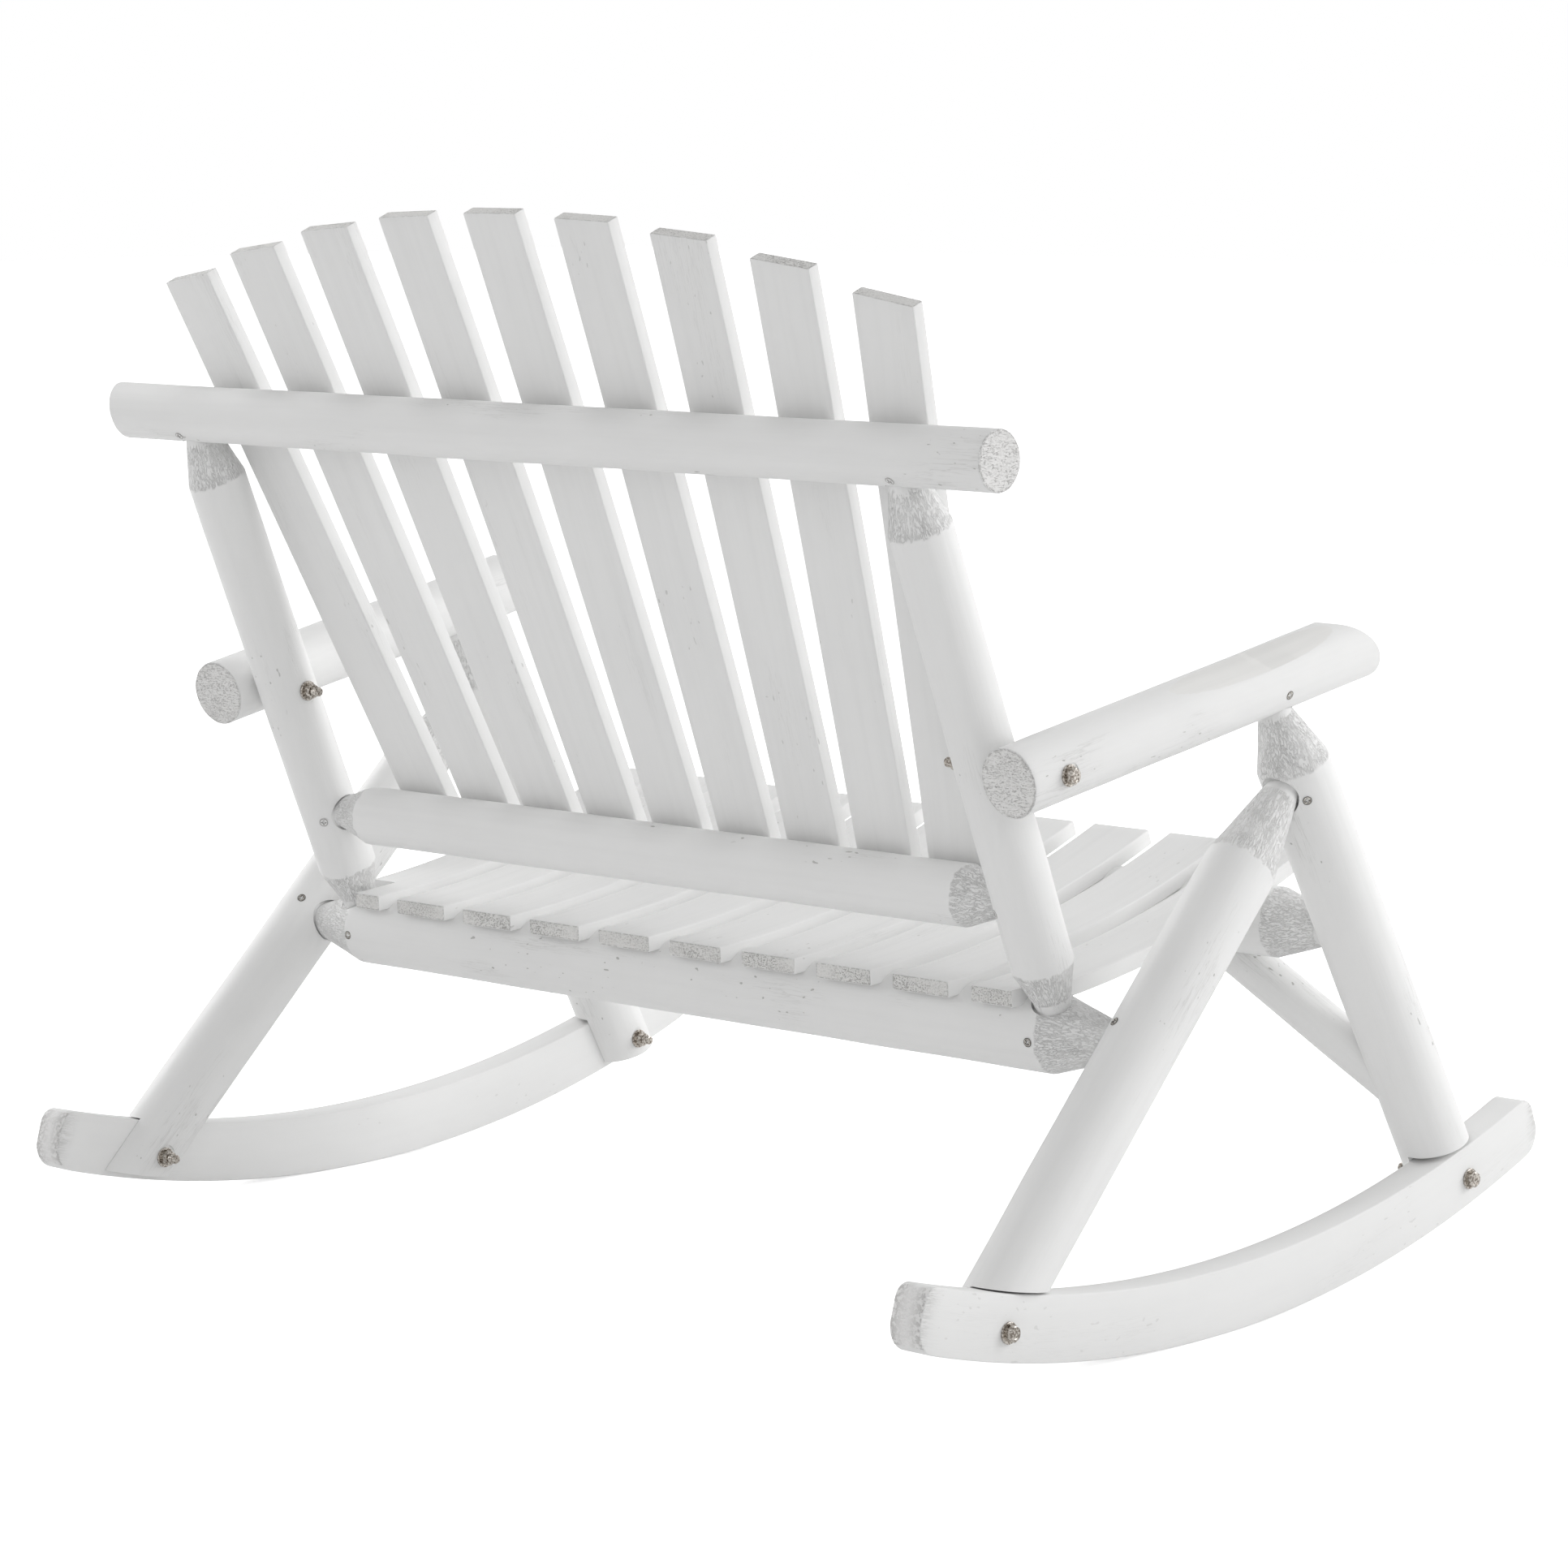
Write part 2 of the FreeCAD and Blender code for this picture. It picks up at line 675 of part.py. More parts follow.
def seat_slat(index):
    """One dished board. The index runs from 0 at the left end to 9 at the right end."""
    x = seat_slat_x(index)
    board = dished_board(x - SEAT_SLAT_WIDTH / 2, x + SEAT_SLAT_WIDTH / 2)
    if index in (0, SEAT_SLATS - 1):
        low_x = POST_NOTCH_X if x > 0 else -FAR
        high_x = FAR if x > 0 else -POST_NOTCH_X
        board = board.cut(block((low_x, high_x), (POST_NOTCH_Y, FAR), (0, FAR)))
    return board


def seat_flat(left_end, right_end):
    """What is planed off a seat rail so that the slats lie flat on it."""
    return dished_board(-right_end, left_end)


def back_flat(s, right_end, left_end):
    """What is planed off the front of a back rail, s up the lean, so that the slats lie flat on it."""
    low = back_point(-right_end, s - FLAT_REACH, BACK_SLAT_FRONT)
    across = Vector(left_end + right_end, 0, 0)
    along = BACK_DIR * (2 * FLAT_REACH)
    face = flat_face([low, low + across, low + across + along, low + along])
    return face.extrude(BACK_NORMAL * FLAT_REACH)


# Braces

def brace_blank():
    direction = (BRACE_TOP - BRACE_LOW).normalize()
    start = BRACE_LOW - direction * 60
    length = (BRACE_TOP - BRACE_LOW).Length + 60
    return revolved(start, direction, [(0, BRACE_R), (length, BRACE_R)])


# Screws

def screw(head_at, inward):
    """A countersunk wood screw with its head flush at head_at."""
    outline = [(0, SCREW_HEAD_R), (SCREW_HEAD, SCREW_SHANK_R), (SCREW_LENGTH, SCREW_TIP_R)]
    return hewn(head_at, inward, outline, SCREW_FLATS)


def on_log(axis_point, outward, r):
    """Place and driving direction of a screw that goes in square to a log's surface."""
    outward = outward.normalize()
    return axis_point + outward * (r - SCREW_SUNK), outward * -1


def frame_screw_places():
    """Head place and driving direction of each frame screw of the left side."""
    top = front_leg_top()
    return [
        on_log(back_point(POST_X, LOW_RAIL_S, 0), BACK_NORMAL * -0.83 + Vector(-0.56, 0, 0), POST_R),
        on_log(back_point(POST_X + 4, BACK_LENGTH, 0), Vector(0, 0.645, -0.764), TOP_RAIL_R),
        on_log(Vector(POST_X - 6, RAIL_Y, RAIL_Z), Vector(0.1, 0.99, -0.11), RAIL_SCREW_R),
        on_log(rear_leg_point(RAIL_Z + 1), Vector(-0.37, 0.656, 0.657), REAR_LEG_R),
        on_log(front_leg_point(512.4), Vector(0.703, 0.634, -0.322), FRONT_LEG_R),
        on_log(arm_point(top.y - 2), Vector(0.937, -0.014, -0.348), ARM_R),
    ]


def frame_screws():
    found = []
    for place, inward in frame_screw_places():
        left = screw(place, inward)
        found.append(left)
        found.append(mirrored(left))
    return found


# Assembly

def bolts_of_left_side():
    rear_y = rear_leg_point(REAR_BOLT_Z).y
    front_y = front_leg_point(FRONT_BOLT_Z).y
    arm = arm_point(ARM_BOLT_Y)
    runner_out = RUNNER_IN + RUNNER_THICK
    rear_in = leg_x(REAR_BOLT_Z) - REAR_LEG_R + LOG_SEAT_DEPTH
    front_in = leg_x(FRONT_BOLT_Z) - FRONT_LEG_R + LOG_SEAT_DEPTH
    arm_out = arm.x + ARM_R - LOG_SEAT_DEPTH
    arm_in = POST_X - POST_R + POST_SEAT_DEPTH
    return {
        "rear": (runner_out, rear_in, rear_y, REAR_BOLT_Z),
        "front": (runner_out, front_in, front_y, FRONT_BOLT_Z),
        "arm": (arm_out, arm_in, ARM_BOLT_Y, ARM_BOLT_Z),
    }


def build_left_side():
    """All pieces of the left side, each cut to take its neighbours."""
    wood = {
        "runner": runner(LEFT),
        "rear_leg": rear_leg_blank(),
        "front_leg": front_leg_blank(),
        "armrest": armrest_blank(),
        "back_post": post_blank(),
        "front_brace": brace_blank(),
    }
    rear_rail = seat_rear_rail_blank()
    front_rail = seat_front_rail_blank()
    for name, foot in (("rear_leg", rear_leg_point(90)), ("front_leg", front_leg_point(120))):
        leg = wood[name].cut(shoulder_cutter(foot))
        leg = leg.cut(cheek_cutter())
        wood[name] = one_solid(leg)
    wood["front_leg"] = wood["front_leg"].cut(rear_leg_mouth()).cut(wood["rear_leg"])
    wood["front_leg"] = one_solid(wood["front_leg"].cut(front_rail))
    wood["rear_leg"] = one_solid(wood["rear_leg"].cut(rear_rail))
    wood["armrest"] = one_solid(wood["armrest"].cut(wood["front_leg"]))
    wood["armrest"] = one_solid(wood["armrest"].cut(wood["back_post"]))
    brace = wood["front_brace"].cut(wood["front_leg"]).cut(front_rail)
    brace = one_solid(brace)
    wood["front_brace"] = brace
    wood["back_post"] = one_solid(wood["back_post"].cut(low_rail_blank()))
    return wood


def bolt_through(wood):
    """Drill and seat the three bolts of the left side and return their metal pieces."""
    carried = {
        "rear": ("runner", "rear_leg"),
        "front": ("runner", "front_leg"),
        "arm": ("armrest", "back_post"),
    }
    metal = {"bolts": [], "nuts": [], "washers": []}
    for key, (outer_x, inner_x, y, z) in bolts_of_left_side().items():
        bolt, nut, washers, shank = bolt_set(outer_x, inner_x, y, z)
        outer_name, inner_name = carried[key]
        wood[outer_name] = wood[outer_name].cut(shank)
        wood[inner_name] = wood[inner_name].cut(shank)
        if key == "arm":
            seat = bolt_seat(Vector(outer_x, y, z), Vector(1, 0, 0), SEAT_R)
            wood[outer_name] = one_solid(wood[outer_name].cut(seat))
        seat = bolt_seat(Vector(inner_x, y, z), Vector(-1, 0, 0), SEAT_R)
        wood[inner_name] = one_solid(wood[inner_name].cut(seat))
        metal["bolts"].append(bolt)
        metal["nuts"].append(nut)
        metal["washers"].extend(washers)
    return metal


def save(name, shapes):
    shape = shapes[0] if len(shapes) == 1 else Part.makeCompound(shapes)
    shape.exportStep(os.path.join("parts", name + ".step"))


def cut_all(host, guests):
    for guest in guests:
        host = host.cut(guest)
    return one_solid(host)


def main():
    os.makedirs("parts", exist_ok=True)
    wood = build_left_side()
    metal = bolt_through(wood)

    half = BACK_SLATS // 2
    back_slats = [back_slat(half - index) for index in range(BACK_SLATS)]
    seat_slats = [seat_slat(index) for index in range(SEAT_SLATS)]
    back_boards = [board for board, soft in back_slats]

    posts = {LEFT: wood["back_post"], RIGHT: mirrored(wood["back_post"])}
    posts = {side: cut_all(post, back_boards) for side, post in posts.items()}
    left_post = posts[LEFT]
    right_post = posts[RIGHT]
    top_flat = back_flat(BACK_LENGTH, TOP_FLAT_RIGHT, TOP_FLAT_LEFT)
    low_flat = back_flat(LOW_RAIL_S, LOW_FLAT_RIGHT, LOW_FLAT_LEFT)
    right_edge = -seat_slat_x(SEAT_SLATS - 1) + SEAT_SLAT_WIDTH / 2
    left_edge = seat_slat_x(0) + SEAT_SLAT_WIDTH / 2
    top_rail = cut_all(top_rail_blank(), [left_post, right_post, top_flat])
    low_rail = cut_all(low_rail_blank(), [low_flat])
    rear_flat = seat_flat(POST_NOTCH_X, POST_NOTCH_X)
    rear_cuts = [left_post, right_post, rear_flat, seat_slats[0], seat_slats[-1]]
    rear_rail = cut_all(seat_rear_rail_blank(), rear_cuts)
    front_rail = cut_all(seat_front_rail_blank(), [seat_flat(left_edge, right_edge)])

    screws = frame_screws()
    for name in wood:
        hosts = {LEFT: wood[name], RIGHT: mirrored(wood[name])}
        if name == "back_post":
            hosts = posts
        for side, host in hosts.items():
            near = [piece for piece in screws if piece.BoundBox.intersect(host.BoundBox)]
            save(name + "_" + SIDE_NAMES[side], [cut_all(host, near)])

    save("top_back_rail", [cut_all(top_rail, screws)])
    save("lower_back_rail", [cut_all(low_rail, screws)])
    save("seat_rear_rail", [cut_all(rear_rail, screws)])
    save("seat_front_rail", [front_rail])
    for index, (board, soft) in enumerate(back_slats):
        save("back_slat_%d" % (index + 1), [soft])
    for index, board in enumerate(seat_slats):
        save("seat_slat_%d" % (index + 1), [board])

    runner_bolts = metal["bolts"][:2]
    arm_bolts = metal["bolts"][2:]
    save("runner_bolts", runner_bolts + [mirrored(bolt) for bolt in runner_bolts])
    save("armrest_bolts", arm_bolts + [mirrored(bolt) for bolt in arm_bolts])
    save("bolt_nuts", metal["nuts"] + [mirrored(nut) for nut in metal["nuts"]])
    save("bolt_washers", metal["washers"] + [mirrored(washer) for washer in metal["washers"]])
    save("frame_screws", screws)


main()
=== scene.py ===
import random
from math import asin, atan2, copysign, cos, hypot, pi, radians, sin, sqrt, tan

import bmesh
import bpy
from mathutils import Matrix, Vector, noise


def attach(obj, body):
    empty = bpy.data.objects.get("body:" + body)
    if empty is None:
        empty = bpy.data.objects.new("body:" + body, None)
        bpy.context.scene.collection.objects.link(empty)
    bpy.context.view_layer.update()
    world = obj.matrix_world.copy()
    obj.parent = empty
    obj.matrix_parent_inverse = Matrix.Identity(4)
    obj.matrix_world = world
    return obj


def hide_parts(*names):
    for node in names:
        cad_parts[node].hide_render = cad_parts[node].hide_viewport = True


# Looks of a rocking bench of peeled logs painted white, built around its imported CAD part.
# Lengths are in millimetres in the part's frame and are turned into metres when a mesh is made.

MM = 0.001
LEFT = 1
RIGHT = -1
SIDES = (LEFT, RIGHT)
SIDE_NAMES = {LEFT: "left", RIGHT: "right"}

RAIL_Y = 123.0
RAIL_Z = 287.5
RUNNER_IN = 586.0
RUNNER_THICK = 37.0
RUNNER_R = 1463.0
RUNNER_LOW_Y = 67.5
RUNNER_FRONT_Y = -487.5
RUNNER_REAR_Y = 486.0
RUNNER_HEIGHTS = (58.0, 64.0, 62.0)
RUNNER_TOP_ROUND = 16.0
RUNNER_LOW_ROUND = 26.0
RUNNER_EASE = 1.5
LEG_X = 585.5
LEG_SPLAY = 0.035
REAR_LEG_R = 37.0
REAR_SLOPE = tan(radians(45.53))
FRONT_LEG_R = 37.5
FRONT_SLOPE = tan(radians(28.68))
FRONT_LEG_Y = -218.6
FRONT_LEG_Z = 353.4
CHEEK_RISE = 6.0
ARM_R = 35.0
ARM_MID = Vector((566.5, 32.8, 596.8))
ARM_SPREAD = 0.057
ARM_RISE = 0.194
ARM_REAR_Y = 278.5
ARM_FRONT_Y = -209.0
PALM_Y = -45.0
PALM_LENGTH = 255.0
PALM_DEPTH = 6.0
PALM_TILT = 27.0
BACK_LEAN = radians(22.64)
BACK_LENGTH = 612.2
POST_X = 489.2
POST_R = 31.8
POST_NOTCH_X = 462.0
POST_NOTCH_Y = 108.0
LOW_RAIL_S = 143.9
TOP_RAIL_SLANT_Y = 0.25
TOP_RAIL_SLANT_Z = 0.244
SEAT_FRONT_Y = -217.0
SEAT_FRONT_Z = 357.0
BACK_SLATS = 9
BACK_SLAT_WIDTH = 72.0
BACK_SLAT_THICK = 15.5
BACK_SLAT_FRONT = 27.0
BACK_SLAT_LOW_S = 115.0
BACK_SLAT_SET_S = 162.0
BACK_SLAT_PITCH = 93.4
BACK_SLAT_TILT = 2.54
BACK_TOP_S = 832.0
BACK_TOP_R = 1474.0
BACK_SLAT_SHIFT = -13.0
SEAT_SLATS = 10
SEAT_SLAT_WIDTH = 73.5
SEAT_SLAT_THICK = 17.0
SEAT_SLAT_PITCH = 101.0
SEAT_REAR = Vector((0, 166.0, 331.7))
SEAT_FRONT = Vector((0, -265.0, 426.4))
SEAT_DISH = 16.9
SEAT_SLAT_SHIFT = 8.0
BRACE_R = 24.0
BRACE_LOW = Vector((566.0, -292.0, 201.0))
BRACE_TOP = Vector((395.0, -225.0, 338.0))
WASHER = 2.2
FRONT_BOLT_Z = 91.7
REAR_BOLT_Z = 57.5
ARM_BOLT_Y = 235.0
ARM_BOLT_Z = 555.8

SHOULDER_GAPS = (2.2, 1.0)
REAR_LEG_SIZES = (REAR_LEG_R, 86.0, 19.0)
FRONT_LEG_SIZES = (FRONT_LEG_R, 58.0, 17.5)
LEG_TENON = 26.0
LEG_TENON_R = 15.0
NOSE_R = 56.0
NOSE_DROP = 22.0
NOSE_LOW_R = 12.0
POST_LOW_S = 40.0
POST_TOP_S = BACK_LENGTH - 29.5
POST_LOW_CONE = 36.0
POST_TOP_CONE = 44.0
POST_NECK_R = 19.5
POST_MOUTH_R = 21.2
POST_TENON = 20.0
POST_TENON_R = 16.0
TOP_RAIL_R = 30.0
TOP_RAIL_RIGHT = -608.0
TOP_RAIL_LEFT = 599.5
RAIL_TENON = 22.0
MOUTH_DEPTH = 9.0
BOLT_SEAT_R = 13.5
LOG_SEAT_DEPTH = 1.6
POST_SEAT_DEPTH = 1.3
WASHER_R = 10.5
WASHER_HOLE_R = 5.2
HEX_FLATS = 14.2
HEAD_HEIGHT = 6.4
NUT_HEIGHT = 8.0
THREAD_START = 7.0
THREAD_LENGTH = 11.0
THREAD_R = 4.95
THREAD_PITCH = 1.5
FRAME_SCREW_R = 4.5
SLAT_SCREW_R = 3.5
SEED_STEP = 977.0
RUNNER_STEPS = 110
CORNER_STEPS = 8
CONE_BLEND = 0.25

BACK_DIR = Vector((0, sin(BACK_LEAN), cos(BACK_LEAN)))
BACK_NORMAL = Vector((0, -cos(BACK_LEAN), sin(BACK_LEAN)))
X_AXIS = Vector((1, 0, 0))

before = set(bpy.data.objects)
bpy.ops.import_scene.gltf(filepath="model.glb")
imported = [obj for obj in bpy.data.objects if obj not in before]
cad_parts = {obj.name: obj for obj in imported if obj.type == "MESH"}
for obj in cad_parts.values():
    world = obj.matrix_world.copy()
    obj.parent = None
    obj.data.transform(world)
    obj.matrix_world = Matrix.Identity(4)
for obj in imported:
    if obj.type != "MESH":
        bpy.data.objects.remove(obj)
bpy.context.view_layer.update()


# Places shared with the part

def sided(v, side):
    return Vector((v.x * side, v.y, v.z))


def leg_x(z):
    return LEG_X - LEG_SPLAY * (z - RAIL_Z)


def rear_leg_point(z):
    return Vector((leg_x(z), RAIL_Y - REAR_SLOPE * (z - RAIL_Z), z))


def front_leg_point(z):
    return Vector((leg_x(z), FRONT_LEG_Y + FRONT_SLOPE * (z - FRONT_LEG_Z), z))


def rear_leg_top():
    """Where the middle line of a rear leg meets that of a front leg."""
    rise = RAIL_Y + REAR_SLOPE * RAIL_Z - FRONT_LEG_Y + FRONT_SLOPE * FRONT_LEG_Z
    return rear_leg_point(rise / (REAR_SLOPE + FRONT_SLOPE))


def arm_point(y):
    ahead = ARM_MID.y - y
    return Vector((ARM_MID.x + ARM_SPREAD * ahead, y, ARM_MID.z + ARM_RISE * ahead))


def front_leg_top():
    """Where the middle line of a front leg meets that of an armrest."""
    rise = ARM_MID.z + ARM_RISE * (ARM_MID.y - FRONT_LEG_Y + FRONT_SLOPE * FRONT_LEG_Z)
    return front_leg_point(rise / (1 + ARM_RISE * FRONT_SLOPE))


def back_point(x, s, ahead):
    return Vector((x, RAIL_Y, RAIL_Z)) + BACK_DIR * s + BACK_NORMAL * ahead


def runner_point(angle, rise):
    radius = RUNNER_R - rise
    return Vector((0, RUNNER_LOW_Y + radius * sin(angle), RUNNER_R - radius * cos(angle)))


def runner_angle(y):
    return asin((y - RUNNER_LOW_Y) / RUNNER_R)


# Mesh making

def add_object(name, data):
    obj = bpy.data.objects.new(name, data)
    bpy.context.scene.collection.objects.link(obj)
    return obj


def make_object(name, verts, faces):
    """An object with its mesh in metres and its faces turned outwards."""
    mesh = bpy.data.meshes.new(name)
    mesh.from_pydata([v * MM for v in verts], [], faces)
    mesh.validate()
    work = bmesh.new()
    work.from_mesh(mesh)
    bmesh.ops.recalc_face_normals(work, faces=work.faces)
    work.to_mesh(mesh)
    work.free()
    return add_object(name, mesh)


def band(count, base):
    """Faces between two rings of equal length, the first one starting at vertex base."""
    pairs = [(base + i, base + (i + 1) % count) for i in range(count)]
    return [(a, b, b + count, a + count) for a, b in pairs]


def tube(rings):
    """Vertices and faces of a closed tube: rings of equal length, ends closed by fans."""
    count = len(rings[0])
    verts = [v for ring in rings for v in ring]
    faces = []
    for k in range(len(rings) - 1):
        faces.extend(band(count, k * count))
    for ring, base in ((rings[0], 0), (rings[-1], (len(rings) - 1) * count)):
        middle = len(verts)
        verts.append(sum(ring, Vector()) / count)
        faces.extend((base + i, base + (i + 1) % count, middle) for i in range(count))
    return verts, faces


def prism(outline, offset):
    """A straight prism to cut with: a closed outline and the same outline moved by offset."""
    count = len(outline)
    faces = band(count, 0)
    faces.append(tuple(range(count))[::-1])
    faces.append(tuple(range(count, 2 * count)))
    return make_object("cutter", outline + [v + offset for v in outline], faces)


def basis(direction):
    z = direction.normalized()
    x = z.cross(Vector((0, 0, 1)))
    x = x.normalized() if x.length > 0.05 else z.cross(Vector((0, 1, 0))).normalized()
    return x, z.cross(x), z


def turns(steps):
    return [2 * pi * i / steps for i in range(steps)]


def ring_of(start, axes, row, spin=0.0):
    """A ring of points round an axis from a row of (radius, height) pairs."""
    x, y, z = axes
    points = []
    for turn, (radius, height) in zip(turns(len(row)), row):
        turn += spin
        points.append(start + (x * cos(turn) + y * sin(turn)) * radius + z * height)
    return points


def round_cutter(start, direction, radius, length, steps=64):
    axes = basis(direction)
    return prism(ring_of(start, axes, [(radius, 0.0)] * steps), axes[2] * length)


def apply_cuts(obj, cutters, operation="DIFFERENCE"):
    for cutter in cutters:
        change = obj.modifiers.new("cut", "BOOLEAN")
        change.operation = operation
        change.object = cutter
        change.solver = "EXACT"
    bpy.context.view_layer.update()
    graph = bpy.context.evaluated_depsgraph_get()
    mesh = bpy.data.meshes.new_from_object(obj.evaluated_get(graph))
    obj.modifiers.clear()
    obj.data = mesh
    for cutter in cutters:
        bpy.data.objects.remove(cutter)


def shade(obj, angle=32):
    work = bmesh.new()
    work.from_mesh(obj.data)
    limit = radians(angle)
    for edge in work.edges:
        edge.smooth = len(edge.link_faces) == 2 and edge.calc_face_angle(4) < limit
    for face in work.faces:
        face.smooth = True
    work.to_mesh(obj.data)
    work.free()


def paint_coordinates(obj, local, marks):
    """Store the place in the wood of every vertex, and how far it is carved or worn."""
    mesh = obj.data
    mesh.attributes.new("grain", "FLOAT_VECTOR", "POINT")
    mesh.attributes.new("carve", "FLOAT", "POINT")
    places, worn = [], []
    for vertex in mesh.vertices:
        places.extend(local(vertex.co / MM) * MM)
        worn.append(marks(vertex.co / MM))
    mesh.attributes["grain"].data.foreach_set("vector", places)
    mesh.attributes["carve"].data.foreach_set("value", worn)


def declare(obj, nodes, looks):
    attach(obj, "root")
    if nodes:
        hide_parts(*nodes)
    obj.data.materials.clear()
    for look in looks:
        obj.data.materials.append(look)


def wave(x, y, z):
    return noise.noise(Vector((x, y, z)))


# Logs

class Log:
    """A peeled log: outline of (distance, radius), cones of (base, neck, log radius, neck radius)."""

    def __init__(self, start, direction, outline, cones, seed):
        self.start = start
        self.x, self.y, self.z = basis(direction)
        self.outline = outline
        self.cones = cones
        self.seed = seed
        self.low = outline[0][0]
        self.high = outline[-1][0]

    def uneven(self, s, turn, across, along, layer):
        """A noise on the log's surface, finer with a larger across and a smaller along."""
        x, y = cos(turn) * across, sin(turn) * across
        return 1 + wave(x, y, s / along + self.seed * layer)

    def wood(self, s, turn):
        broad, dents = self.uneven(s, turn, 0.7, 150, 1), self.uneven(s, turn, 2.6, 60, 2)
        return -0.55 * broad - 0.3 * dents - 0.12 * self.uneven(s, turn, 6.0, 190, 3)

    def knife(self, s, turn):
        return 0.75 * self.uneven(s, turn, 4.5, 55, 5) + 0.3 * self.uneven(s, turn, 13, 30, 7)

    def outline_radius(self, s):
        for (s0, r0), (s1, r1) in zip(self.outline, self.outline[1:]):
            if s0 <= s <= s1:
                return r0 + (r1 - r0) * (s - s0) / (s1 - s0)
        return self.outline[0][1] if s < self.low else self.outline[-1][1]

    def surface(self, s, turn):
        """Radius of the log and how much of a carved cone there is at this place."""
        for base, neck, log_r, neck_r in self.cones:
            along = (s - base) / (neck - base)
            if -CONE_BLEND <= along <= 1.0:
                cone = log_r + (neck_r - log_r) * along - self.knife(s, turn) * min(1.0, 1.35 - along)
                wood = log_r + self.wood(s, turn)
                return (cone, 1.0) if cone < wood else (wood, 0.0)
        return self.outline_radius(s) + self.wood(s, turn), 0.0

    def stations(self):
        """Distances of the rings along the log: close together where a cone is carved."""
        marks = {s for s, _ in self.outline}
        for base, neck, _, _ in self.cones:
            first = base - CONE_BLEND * (neck - base)
            steps = int(abs(neck - first) / 1.8)
            marks.update(first + (neck - first) * i / steps for i in range(steps + 1))
        s = self.low
        while s < self.high:
            if all(abs(s - mark) > 3.5 for mark in marks):
                marks.add(s)
            s += 7.0
        return sorted(marks)

    def at(self, s, radius, turn):
        return self.start + (self.x * cos(turn) + self.y * sin(turn)) * radius + self.z * s

    def build(self, name, steps=96):
        def ring(s, inset=0.0, ahead=0.0):
            return [self.at(s + ahead, self.surface(s, turn)[0] - inset, turn) for turn in turns(steps)]

        rings = [ring(s) for s in self.stations()]
        rings[0], rings[-1] = ring(self.low, 0.0, 1.2), ring(self.high, 0.0, -1.2)
        rims = ((3.2, 0.0), (1.1, 0.0), (0.35, 0.35))
        first = [ring(self.low, inset, ahead) for inset, ahead in rims]
        last = [ring(self.high, inset, -ahead) for inset, ahead in rims]
        return make_object(name, *tube(first + rings + last[::-1]))

    def find(self, point):
        away = point - self.start
        return away.dot(self.x), away.dot(self.y), away.dot(self.z)

    def local(self, point):
        across, up, s = self.find(point)
        return Vector((across, up, s + self.seed * SEED_STEP))

    def carved(self, point):
        """How far the wood is carved: on the cones, and along the rims of the sawn ends."""
        across, up, s = self.find(point)
        if s < self.low + 0.8 or s > self.high - 0.8:
            end_r = self.outline[0][1] if s < self.low + 0.8 else self.outline[-1][1]
            return 1.0 if hypot(across, up) > end_r - 3.4 else 0.0
        return self.surface(s, atan2(up, across))[1]

    def finish(self, obj, nodes, looks):
        shade(obj)
        paint_coordinates(obj, self.local, self.carved)
        declare(obj, nodes, looks)
        for face in obj.data.polygons:
            flat = abs(face.normal.dot(self.z)) > 0.96
            face.material_index = 1 if flat else 0


def shoulder_cutter(foot, side):
    centre = runner_angle(foot.y)
    half = 52.0 / RUNNER_R
    low = runner_point(centre - half, RUNNER_HEIGHTS[1] + SHOULDER_GAPS[0])
    high = runner_point(centre + half, RUNNER_HEIGHTS[1] + SHOULDER_GAPS[1])
    along = high - low
    low, high, down = low - along, high + along, Vector((0, 0, -300))
    outline = [low, high, high + down, low + down]
    inner = [v + X_AXIS * (RUNNER_IN * side) for v in outline]
    return prism(inner, X_AXIS * (200 * side))


def cheek_cutter(side):
    first = runner_angle(RUNNER_FRONT_Y) - radians(6)
    last = runner_angle(RUNNER_REAR_Y) + radians(6)
    arc = [runner_point(first + (last - first) * i / 60, CHEEK_RISE) for i in range(61)]
    outline = arc + [Vector((0, arc[-1].y, -300)), Vector((0, arc[0].y, -300))]
    start = X_AXIS * ((RUNNER_IN - 150) * side)
    return prism([v + start for v in outline], X_AXIS * (300 * side))


def mouth_cutter(point, direction, radius, depth=MOUTH_DEPTH):
    """A short round cut that leaves a dark gap around a tenon; point is on the log's surface."""
    direction = direction.normalized()
    return round_cutter(point - direction * 40, direction, radius, 40 + depth)


def bolt_places():
    """The rear and the front bolt of a runner and the bolt of an armrest, as (outer x, inner x, y, z)."""
    outer = RUNNER_IN + RUNNER_THICK
    rear, front, arm = rear_leg_point(REAR_BOLT_Z), front_leg_point(FRONT_BOLT_Z), arm_point(ARM_BOLT_Y)
    return [
        (outer, rear.x - REAR_LEG_R + LOG_SEAT_DEPTH, rear.y, REAR_BOLT_Z),
        (outer, front.x - FRONT_LEG_R + LOG_SEAT_DEPTH, front.y, FRONT_BOLT_Z),
        (arm.x + ARM_R - LOG_SEAT_DEPTH, POST_X - POST_R + POST_SEAT_DEPTH, ARM_BOLT_Y, ARM_BOLT_Z),
    ]


def seat_cutter(bolt, side, facing):
    """The flat round seat of a washer on a log, facing outwards (1) or inwards (-1)."""
    outer, inner, y, z = bolt_places()[bolt]
    x = outer if facing > 0 else inner
    return round_cutter(Vector((x * side, y, z)), X_AXIS * (side * facing), BOLT_SEAT_R, 40)


def leg_axis(point, top, reach):
    start = point(0.0)
    direction = (top - start).normalized()
    return start, direction, (top - start).length - reach


